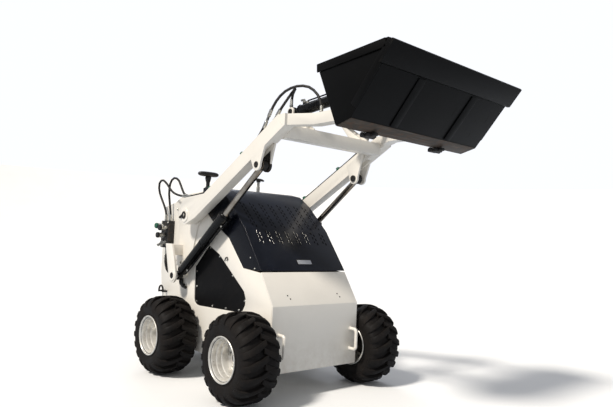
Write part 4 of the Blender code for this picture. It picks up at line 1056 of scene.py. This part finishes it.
class LOADER_OT_hoses(LoaderStep, bpy.types.Operator):
    """Hydraulic hoses on their routes, each ending in crimped ferrules and hex nuts"""
    bl_idname = "loader.hoses"
    bl_label = "Hoses"

    def ferrule(self, spot, axis, length=0.030):
        """A crimped sleeve: radius ripples four times along it, with a hex nut at its foot."""
        s = np.linspace(0, 1, 19)
        ripple = HOSE_RADIUS + 0.0019 + 0.0006 * np.sin(s * math.tau * 4)
        profile = [(HOSE_RADIUS * 0.6, 0)] + list(zip(ripple, 0.010 + s * length)) \
            + [(HOSE_RADIUS + 0.0002, 0.0105 + length)]
        nut = lathe([(0.0075, 0.0004), (0.0108, 0.0012), (0.0108, 0.0105), (0.008, 0.0118)], spot,
                    axis, 6)
        return join([nut, lathe(profile, spot, axis, 16)])

    def hose(self, node, body, points, onto=None):
        """A hose on its route, as a curve that rides one body. With a second body it is a fixed
        tube on no body, and only its far ferrule rides the second body."""
        route = smooth_route([(x - SHIFT, y, z) for x, y, z in points], 5 * HOSE_RADIUS)
        machine = np.array([(p.x + SHIFT, p.y, p.z) for p in route])
        if onto:
            thing = new_piece(node + "_cover", "hose", None, tube_along(machine, HOSE_RADIUS, 14))
            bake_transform(thing)
        else:
            curve = bpy.data.curves.new(node + "_hose", "CURVE")
            curve.dimensions = "3D"
            curve.bevel_depth = HOSE_RADIUS
            curve.bevel_resolution = 3
            curve.use_fill_caps = True
            spline = curve.splines.new("POLY")
            spline.points.add(len(route) - 1)
            spline.points.foreach_set("co", np.array([(*p, 1.0) for p in route]).ravel())
            spline.use_smooth = True
            curve.materials.append(FINISH["hose"])
            thing = bpy.data.objects.new(node + "_cover", curve)
            bpy.context.scene.collection.objects.link(thing)
            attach(thing, body)
        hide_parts(node)
        fittings = [new_piece(f"{node}_ferrule_{end}", "zinc", rides,
                              self.ferrule(tip, before - tip))
                    for end, rides, tip, before in (("near", body, machine[0], machine[1]),
                                                    ("far", onto or body, machine[-1],
                                                     machine[-2]))]

    def build(self, colours, sizes):
        # routes round the valve block, as steps from where each hose starts
        middle = -(BODY_HALF + SEAT_GAP + 0.021)
        top, bottom = 0.915 + SEAT_GAP, 0.740 - SEAT_GAP
        tail_x, tail_z = ARM_TAIL[0] - 0.027, ARM_TAIL[1] + 0.014
        for name, x, lane, route, ends in (
                ("rear", -0.680, -0.037,
                 [(0, 0, 0), (0, 0, 0.040), (-0.020, -0.008, 0.095), (-0.060, -0.015, 0.155),
                  (-0.083, -0.021, 0.205), (-0.070, -0.027, 0.252), (-0.018, -0.031, 0.267),
                  (0.048, -0.034, 0.238)],
                 [(-0.680 + 0.130 - tail_x, 0.001, 0.034), (-0.090, 0, 0.009), (0, 0, 0)]),
                ("front", -0.625, -0.019,
                 [(0, 0, 0), (0, 0, 0.045), (-0.005, -0.008, 0.115), (-0.010, -0.014, 0.185),
                  (0.012, -0.019, 0.250), (0.065, -0.020, 0.276), (0.122, -0.020, 0.256)],
                 [(-0.093, 0, 0.059), (-0.056, 0, 0.019), (0, 0, 0)])):
            self.hose("tower_hose_" + name, "chassis",
                      [(x + dx, middle + dy, top + dz) for dx, dy, dz in route]
                      + [(tail_x + dx, middle + lane + dy, tail_z + dz) for dx, dy, dz in ends],
                      "lift_arms")
        x = -0.655
        base_x, base_z = LIFT_BASE[0] - LIFT_PIN_RADIUS - SEAT_GAP, LIFT_BASE[1]
        self.hose("cylinder_hose", "chassis",
                  [(x, middle, bottom), (x, middle, bottom - 0.040),
                   (x + 0.003, middle, bottom - 0.090),
                   (x + 0.030, middle + 0.001, base_z + 0.024),
                   (x + 0.085, middle + 0.003, base_z + 0.002),
                   (base_x - 0.054, -0.326, base_z), (base_x, -0.326, base_z)])
        self.guard(middle)
        # routes along the arm: (x, rise over resting on it), then free to the tilt cylinder
        rest = HOSE_RADIUS + 2 * SEAT_GAP
        flat = [(ARM_TAIL[0] + 0.010, 0), (-0.240, 0), (-0.165, 0.0004), (-0.120, 0.003),
                (-0.070, 0.001), (0.010, 0), (0.150, 0)]
        tall, ahead = 1.452, 0.724
        tilt_x, tilt_z = TILT_BASE[0], TILT_BASE[1] + 0.025 + SEAT_GAP
        for side, sign in SIDES:
            for name, lane, last, free in (
                    ("outer", OUTER_LANE, [(0.300, 0), (0.365, 0.008)],
                     [(0.418, 0.370, tall - 0.022), (0.450, 0.364, tall + 0.040),
                      (0.484, 0.356, tall + 0.089), (0.530, 0.342, tall + 0.128),
                      (0.592, 0.318, tall + 0.148), (ahead - 0.070, 0.293, tall + 0.138),
                      (ahead - 0.018, 0.280, tall + 0.094), (ahead + 0.009, 0.277, tall + 0.040),
                      (ahead + 0.012, 0.277, tall - 0.005 + SEAT_GAP)]),
                    ("inner", INNER_LANE, [(0.320, 0), (0.400, 0.006)],
                     [(0.462, 0.351, tall - 0.014), (0.500, 0.346, tall + 0.036),
                      (0.532, 0.332, tall + 0.084), (0.545, 0.308, tall + 0.128),
                      (0.530, 0.278, tall + 0.154), (0.493, 0.252, tall + 0.155),
                      (tilt_x + 0.016, 0.232, tilt_z + 0.066), (tilt_x, 0.226, tilt_z + 0.026),
                      (tilt_x, 0.226, tilt_z)])):
                run = [(x, sign * lane, arm_edge(x, rest + rise)) for x, rise in flat + last]
                self.hose(f"{side}_arm_hose_{name}", "lift_arms",
                          run + [(x, sign * y, z) for x, y, z in free])
            self.clips(side, sign)
            self.joints(side, sign)

    def guard(self, middle):
        """A spiral wrap on the cylinder hose, and steel elbows at its lower end: the wrap is a
        helix of 9 mm pitch about the hose's route."""
        route = smooth_route([(-0.655, middle, 0.690), (-0.652, middle, 0.648),
                              (-0.625, middle + 0.001, 0.600), (-0.570, middle + 0.003, 0.578),
                              (-0.520, -0.327, 0.576)], 0.0012)
        line = np.array([tuple(p) for p in route])
        run = np.gradient(line, axis=0)
        run /= np.linalg.norm(run, axis=1)[:, None]
        side = np.array([0.0, 1.0, 0.0])
        up = np.cross(run, side)
        up /= np.linalg.norm(up, axis=1)[:, None]
        travel = np.concatenate([[0], np.cumsum(np.linalg.norm(np.diff(line, axis=0), axis=1))])
        turn = travel / 0.009 * math.tau
        coil = line + 0.0098 * (np.cos(turn)[:, None] * side + np.sin(turn)[:, None] * up)
        new_piece("hose_guard", "grip", "chassis", tube_along(coil, 0.0026, 6))
        elbows, y = [], -0.3205
        for x, drop in ((-0.470, 0.030), (-0.446, 0.042)):
            bend = smooth_route([(x, y, 0.560), (x, y, 0.560 - drop), (x + 0.012, y, 0.548 - drop),
                                 (x + 0.044, y, 0.546 - drop)], 0.003)
            elbows.append(tube_along(bend, 0.0068, 12))
            elbows.append(lathe([(0.0075, 0), (0.0102, 0.001), (0.0102, 0.012), (0.008, 0.013)],
                                (x + 0.036, y, 0.546 - drop), (1, 0, 0), 6))
        new_piece("base_elbows", "iron", "chassis", *elbows)

    def clips(self, side, sign):
        """Nylon saddles over both hoses of an arm."""
        along = (math.cos(ARM_SLOPE), 0, math.sin(ARM_SLOPE))
        saddles = [slab_at(placed((x, sign * (OUTER_LANE + INNER_LANE) / 2, arm_edge(x, 0)), along,
                                  (-along[2], 0, along[0])), (-0.011, -0.026, 0.0004),
                           (0.011, 0.026, 0.0215), 0.006, 3, 0.006) for x in (-0.075, 0.232)]
        new_piece(f"{side}_hose_clips", "clip", "lift_arms", *saddles)

    def joints(self, side, sign):
        """Crimped joints where the hoses leave the arm, and unions at the right arm's tail."""
        sleeves = []
        for points in ([(0.400, 0.3712, 1.4010), (0.4185, 0.370, 1.4310), (0.434, 0.367, 1.461),
                        (0.4500, 0.364, 1.4925)],
                       [(0.440, 0.3516, 1.4110), (0.4620, 0.351, 1.4390), (0.482, 0.3486, 1.4640),
                        (0.5000, 0.346, 1.4885)]):
            route = smooth_route([(x, sign * y, z) for x, y, z in points], 0.004)
            s = np.linspace(0, 1, len(route))
            swell = np.where(np.abs(s - 0.5) < 0.12, 1.0, 1.32 + 0.10 * np.sin(s * 60))
            sleeves.append(tube_along(route, HOSE_RADIUS + 0.0003, 14, swell))
        new_piece(f"{side}_hose_joints", "zinc", "lift_arms", *sleeves)
        if sign < 0:
            unions = [tube_along(smooth_route([(x, -y, z) for x, y, z in zip(
                (-0.377, -0.352, -0.330), line, (1.0658, 1.0635, 1.0612))], 0.004), 0.0092, 6)
                for line in ((0.3683, 0.371, OUTER_LANE), (0.3503, 0.351, INNER_LANE))]
            new_piece("arm_hose_unions", "zinc", "lift_arms", *unions)


class LOADER_OT_couplers(LoaderStep, bpy.types.Operator):
    """Quick couplers with dust caps on the outlet block, and its fixing bolts"""
    bl_idname = "loader.couplers"
    bl_label = "Tool couplers"

    def build(self, colours, sizes):
        face, out = -(BODY_HALF + SEAT_GAP + 0.042), (0, -1, 0)
        sleeve = [(0.015, 0), (0.015, 0.012), (0.0125, 0.014), (0.0125, 0.020), (0.0165, 0.022),
                  (0.0165, 0.030), (0.0155, 0.0315), (0.0165, 0.033), (0.0165, 0.040),
                  (0.0140, 0.042)]
        cap = [(0.0150, 0.0405), (0.0180, 0.042), (0.0182, 0.052), (0.0160, 0.056),
               (0.0020, 0.0565)]
        outlet = [(0.011, 0), (0.011, 0.014), (0.007, 0.016), (0.007, 0.034), (0.0095, 0.035),
                  (0.0095, 0.043), (0.007, 0.045)]
        spots = [(x, face, z) for x, z in ((-0.675, 0.880), (-0.628, 0.868), (-0.652, 0.820))]
        bodies = [lathe(sleeve, spot, out, 24) for spot in spots]
        caps = [lathe(cap, spot, out, 24) for spot in spots]
        bodies += [bolt((x, face, z), out, 0.010, 0.006) for x, z in (
            (-0.690, 0.752), (-0.610, 0.752), (-0.690, 0.903), (-0.610, 0.903))]
        bodies += [lathe(outlet, (x, face, 0.778), (0, -0.8, -0.6), 6) for x in (-0.672, -0.632)]
        new_piece("coupler_sleeves", "zinc", "chassis", *bodies)
        new_piece("coupler_dust_caps", "grip", "chassis", *caps[1:])
        new_piece("coupler_green_cap", "clip", "chassis", caps[0])


class LOADER_OT_levers(LoaderStep, bpy.types.Operator):
    """Drive levers: a wide palm grip on the right and a T knob on a bright post on the left"""
    bl_idname = "loader.levers"
    bl_label = "Drive levers"

    def palm(self, centre, half, thick, deep, droop):
        """Grip: an ellipse carried along Y whose size follows (1 - t^4)^(1/2.4), and whose
        middle line drops with the square of t."""
        rows, columns = 25, 20
        t = np.linspace(-1, 1, rows)[:, None]
        size = np.clip(1 - np.abs(t) ** 4, 0.0005, 1) ** (1 / 2.4)
        angles = np.linspace(0, math.tau, columns, endpoint=False)
        bulge = 1 - 0.28 * np.exp(-(t / 0.45) ** 2)
        verts = np.stack([centre[0] + deep * size * np.cos(angles) / bulge,
                          np.repeat(centre[1] + half * t, columns, 1),
                          centre[2] - droop * t ** 2 + thick * size * np.sin(angles)], -1)
        return verts, filled_faces(rows, columns)

    def build(self, colours, sizes):
        for side, sign in SIDES:
            node = f"{side}_control_lever"
            low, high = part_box(node)
            x, y = (low.x + high.x) / 2 + SHIFT, (low.y + high.y) / 2
            top = high.z - low.z
            s = np.linspace(0, 1, 29)
            bellows = 0.0345 - 0.019 * s + 0.0018 * np.sin(s * math.tau * 5)
            boot = [(0.035, 0)] + list(zip(bellows, 0.004 + 0.050 * s)) + [(0.010, 0.056)]
            if sign < 0:
                grip = self.palm((x, y, high.z - 0.0168), 0.0748, 0.0163, 0.0240, 0.0)
                neck = [(0.0115, 0.045), (0.0120, 0.080), (0.0165, 0.095), (0.0200, 0.112),
                        (0.0170, 0.120), (0.0120, 0.124)]
            else:
                grip = self.palm((x, y, high.z - 0.0120), 0.048, 0.0085, 0.0115, 0.006)
                neck = [(0.0135, top - 0.030), (0.0150, top - 0.024), (0.0120, top - 0.016)]
            piece = new_piece(node + "_grip", "grip", "chassis",
                              lathe(boot, (x, y, low.z), (0, 0, 1), 28),
                              lathe(neck, (x, y, low.z), (0, 0, 1), 20), grip, smooth=40)
            if sign > 0:
                post = [(0.0100, 0.040), (0.0115, 0.052), (0.0120, 0.086), (0.0095, 0.092),
                        (0.0095, top - 0.026)]
                new_piece(node + "_post", "zinc", "chassis",
                          lathe(post, (x, y, low.z), (0, 0, 1), 20))
            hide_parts(node)


class LOADER_OT_console_trim(LoaderStep, bpy.types.Operator):
    """Blank gauge, key switch, toggles and throttle knob on the console's top"""
    bl_idname = "loader.console_trim"
    bl_label = "Console trim"

    def build(self, colours, sizes):
        def top(x):
            return 1.078 + (x + 0.500) * 0.015 / 0.225

        out, row = (-0.066, 0, 1), -0.345         # the top's slope, and the switches' line
        gauge = lathe([(0.034, -0.001), (0.034, 0.006), (0.031, 0.009), (0.029, 0.006),
                       (0.002, 0.0055)], (-0.360, 0.0, top(-0.360)), out, 36)
        collars = [lathe([(0.010, -0.001), (0.010, 0.004), (0.0085, 0.006)], (row, y, top(row)),
                         out, 18) for y in (-0.085, -0.060, 0.060)]
        toggles = [tube_along([(row + dx, y, top(row) + dz) for dx, dz in (
            (0, 0.003), (-0.005, 0.012), (-0.009, 0.021))], 0.0028, 8, [0.8, 1.0, 1.2])
            for y in (-0.085, -0.060, 0.060)]
        key = lathe([(0.0105, -0.001), (0.0105, 0.007), (0.009, 0.009), (0.004, 0.0095)],
                    (row, 0.090, top(row)), out, 24)
        ball = [(0.0125 * math.sin(a) + 0.0005, 0.032 - 0.0125 * math.cos(a))
                for a in np.linspace(0, math.pi * 0.9, 9)[1:]]
        knob = lathe([(0.004, 0), (0.004, 0.020)] + ball, (-0.330, 0.125, top(-0.330) - 0.001),
                     (-0.1, 0, 1), 20)
        new_piece("console_controls", "grip", "chassis", gauge, *collars, knob)
        new_piece("console_switches", "zinc", "chassis", *toggles, key)


class LOADER_OT_rear_trim(LoaderStep, bpy.types.Operator):
    """The operator's lean pad with its sewn channels, the service door and the rear bolts"""
    bl_idname = "loader.rear_trim"
    bl_label = "Rear trim"

    def build(self, colours, sizes):
        low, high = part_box("rear_pad")
        back, front = high.x + SHIFT, low.x + SHIFT
        width, height = (high.y - low.y) / 2, (high.z - low.z) / 2
        side = 61                                 # points along each side of the pad
        u = np.sin(np.linspace(-math.pi / 2, math.pi / 2, side))
        uu, vv = np.meshgrid(u, u, indexing="ij")
        crown = (np.clip(1 - np.abs(uu) ** 5, 0, 1) * np.clip(1 - np.abs(vv) ** 5, 0, 1)) ** 0.30
        for seam in (-0.34, 0.34):
            crown = crown * (1 - 0.34 * np.exp(-((vv - seam) / 0.045) ** 2))
        squeeze = 1 - 0.03 * (1 - uu ** 2) * np.abs(vv) ** 3
        front_face = np.stack([back - 0.004 - (back - front - 0.004) * crown * 0.985,
                               uu * width * (1 - 0.025 * (1 - vv ** 2) * np.abs(uu) ** 3),
                               (high.z + low.z) / 2 + vv * height * squeeze], -1)
        back_face = front_face.copy()
        back_face[..., 0] = back - 0.0008
        count = side * side
        faces = grid_faces(side, side)
        faces += [[i + count for i in f[::-1]] for f in faces]
        steps = np.arange(side - 1)
        border = np.concatenate([steps, steps * side + side - 1, count - 1 - steps,
                                 (side - 1 - steps) * side]).tolist()
        faces += [[a, b, b + count, a + count] for a, b in zip(border, border[1:] + border[:1])]
        pad = new_piece("lean_pad", "pad", "chassis", (np.stack([front_face, back_face]), faces),
                        smooth=50)
        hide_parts("rear_pad")
        panel_x, door = -0.6552, 0.0022           # the rear panel's face, and the door's thickness
        new_piece("service_door", "cream", "chassis",
                  slab_at(placed((panel_x, 0, 0.430), (0, -1, 0), (-1, 0, 0)),
                          (-0.175, -0.142, 0), (0.175, 0.142, door), 0.016, 5, 0.0009))
        screws = [bolt((panel_x - door, y, z), (-1, 0, 0), 0.010, 0.005)
                  for y in (-0.160, 0.160) for z in (0.305, 0.555)]
        screws += [bolt((panel_x, y, z), (-1, 0, 0), 0.011, 0.006) for y in (-0.285, 0.285)
                   for z in (0.30, 0.55, 0.80, 0.98)]
        new_piece("rear_bolts", "zinc", "chassis", *screws)


class LOADER_OT_step_tread(LoaderStep, bpy.types.Operator):
    """Raised lozenges over the operator's step, and a rolled kerb at its rear edge"""
    bl_idname = "loader.step_tread"
    bl_label = "Step tread"

    def build(self, colours, sizes):
        low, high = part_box("operator_platform")
        z = high.z
        parts = []
        t = np.linspace(0, math.tau, 8, endpoint=False)
        ring = np.stack([0.0125 * np.sign(np.cos(t)) * np.abs(np.cos(t)) ** 1.4,
                         0.0042 * np.sin(t), np.zeros(8)], -1)
        for i, x in enumerate(np.arange(low.x + 0.030, high.x - 0.030, 0.024)):
            for j, y in enumerate(np.arange(low.y + 0.030, high.y - 0.020, 0.0242)):
                turn = math.radians(45 if (i + j) % 2 else -45)
                spin = np.array([[math.cos(turn), -math.sin(turn), 0],
                                 [math.sin(turn), math.cos(turn), 0], [0, 0, 1]])
                foot = ring @ spin.T
                crest = foot * [0.72, 0.72, 1] + [0, 0, 0.0016]
                verts = np.concatenate([foot + [0, 0, -0.0003], crest])
                parts.append((verts + [x + SHIFT, y, z], filled_faces(2, 8)))
        new_piece("step_tread", "iron", "platform", *parts)
        lip = [(low.x + SHIFT + 0.005, y, z) for y in (low.y + 0.005, 0, high.y - 0.005)]
        new_piece("step_kerb", "iron", "platform",
                  tube_along(smooth_route(lip, 0.03), 0.004, 12))


class LOADER_OT_bucket_trim(LoaderStep, bpy.types.Operator):
    """Wear strips on the bucket's sides and floor, its bare heel plate and its latches"""
    bl_idname = "loader.bucket_trim"
    bl_label = "Bucket trim"

    def strip(self, start, end, y_from, y_to, thick, out, edge=0.002):
        """A flat bar lying on a line of the side view, standing off it by its thickness."""
        span, along = heading(start, end)
        spot = placed((start[0], 0, start[1]), (along[0], 0, along[1]), (out[0], 0, out[1]))
        low, high = sorted((y_from * spot[1, 1], y_to * spot[1, 1]))
        return slab_at(spot, (0, low, 0.0002), (span, high, thick), edge, 2, edge * 0.8)

    def build(self, colours, sizes):
        # corners of the bucket's section in the side view, and the outer face of its sides
        foot, heel, lip, top, corner = (np.array(p) for p in (
            (1.034, 1.322), (1.124, 1.346), (1.353, 1.623), (0.900, 1.613), (1.312, 1.643)))
        side_y = 0.465
        _, along = heading(foot, heel)
        new_piece("heel_wear_plate", "wear", "bucket",
                  self.strip(foot + along * 0.002, heel - along * 0.001, -0.462, 0.462, 0.0028,
                             (along[1], -along[0]), 0.001))
        _, run = heading(heel, lip)
        new_piece("floor_wear_bars", "bucket", "bucket",
                  *[self.strip(heel + run * 0.004, lip - run * 0.112, y - 0.024, y + 0.024,
                               0.006, (run[1], -run[0])) for y in (-0.200, 0.200)])
        _, mouth = heading(top, corner)
        rim = top + np.array([mouth[1], -mouth[0]]) * 0.020
        start = lip - run * 0.014
        sides = []
        for sign in (-1, 1):
            spot = placed((rim[0], sign * side_y, rim[1]), (mouth[0], 0, mouth[1]), (0, sign, 0))
            sides.append(slab_at(spot, (0.004, -0.019, 0.0002), (0.404, 0.019, 0.006), 0.003, 2,
                                 0.0015))
            spot = placed((start[0], sign * side_y, start[1]), (-run[0], 0, -run[1]),
                          (0, sign, 0))
            low, high = (0.001, 0.036) if spot[2, 1] > 0 else (-0.036, -0.001)
            sides.append(slab_at(spot, (0, low, 0.0002), (0.300, high, 0.006), 0.003, 2, 0.0015))
        new_piece("side_wear_strips", "bucket", "bucket", *sides)
        latches = []
        for y in (-0.250, 0.250):
            latches.append(rounded_slab((1.000, y - 0.030, 1.3035), (1.052, y + 0.030, 1.3205),
                                        0.005, 3, 0.003))
            latches.append(lathe([(0.0115, -0.040), (0.0115, 0.040), (0.0095, 0.043)],
                                 (1.022, y, 1.312), (0, 1, 0), 16))
            latches.append(rounded_slab((1.040, y - 0.011, 1.3060), (1.078, y + 0.011, 1.3210),
                                        0.004, 3, 0.003))
        new_piece("attach_latches", "iron", "bucket", *latches)
        rail = [(0.8965, y, 1.609) for y in (-0.440, 0, 0.440)]
        new_piece("bucket_back_rail", "bucket", "bucket",
                  tube_along(smooth_route(rail, 0.05), 0.0085, 16))


STEPS = (LOADER_OT_stage, LOADER_OT_plates, LOADER_OT_hoses, LOADER_OT_tyres, LOADER_OT_rims,
         LOADER_OT_hood_trim, LOADER_OT_side_trim, LOADER_OT_pivots, LOADER_OT_cylinders,
         LOADER_OT_couplers, LOADER_OT_levers, LOADER_OT_console_trim, LOADER_OT_rear_trim,
         LOADER_OT_step_tread, LOADER_OT_bucket_trim)


class LOADER_PT_panel(bpy.types.Panel):
    """Colours, sizes and one button for each group of pieces"""
    bl_idname = "LOADER_PT_panel"
    bl_label = "Compact Loader"
    bl_space_type = "VIEW_3D"
    bl_region_type = "UI"
    bl_category = "Loader"

    def draw(self, context):
        for settings in (context.scene.loader_colours, context.scene.loader_sizes):
            box = self.layout.box()
            for name in settings.__annotations__:
                box.prop(settings, name)
        for step in STEPS:
            self.layout.operator(step.bl_idname)


CLASSES = (LoaderColours, LoaderSizes, *STEPS, LOADER_PT_panel)


def register():
    for kind in CLASSES:
        bpy.utils.register_class(kind)
    bpy.types.Scene.loader_colours = bpy.props.PointerProperty(type=LoaderColours)
    bpy.types.Scene.loader_sizes = bpy.props.PointerProperty(type=LoaderSizes)


def unregister():
    del bpy.types.Scene.loader_colours
    del bpy.types.Scene.loader_sizes
    for kind in reversed(CLASSES):
        bpy.utils.unregister_class(kind)


def main():
    register()
    make_finishes(bpy.context.scene.loader_colours)
    for step in STEPS:
        getattr(bpy.ops.loader, step.bl_idname.split(".")[1])()


if __name__ == "__main__":
    main()
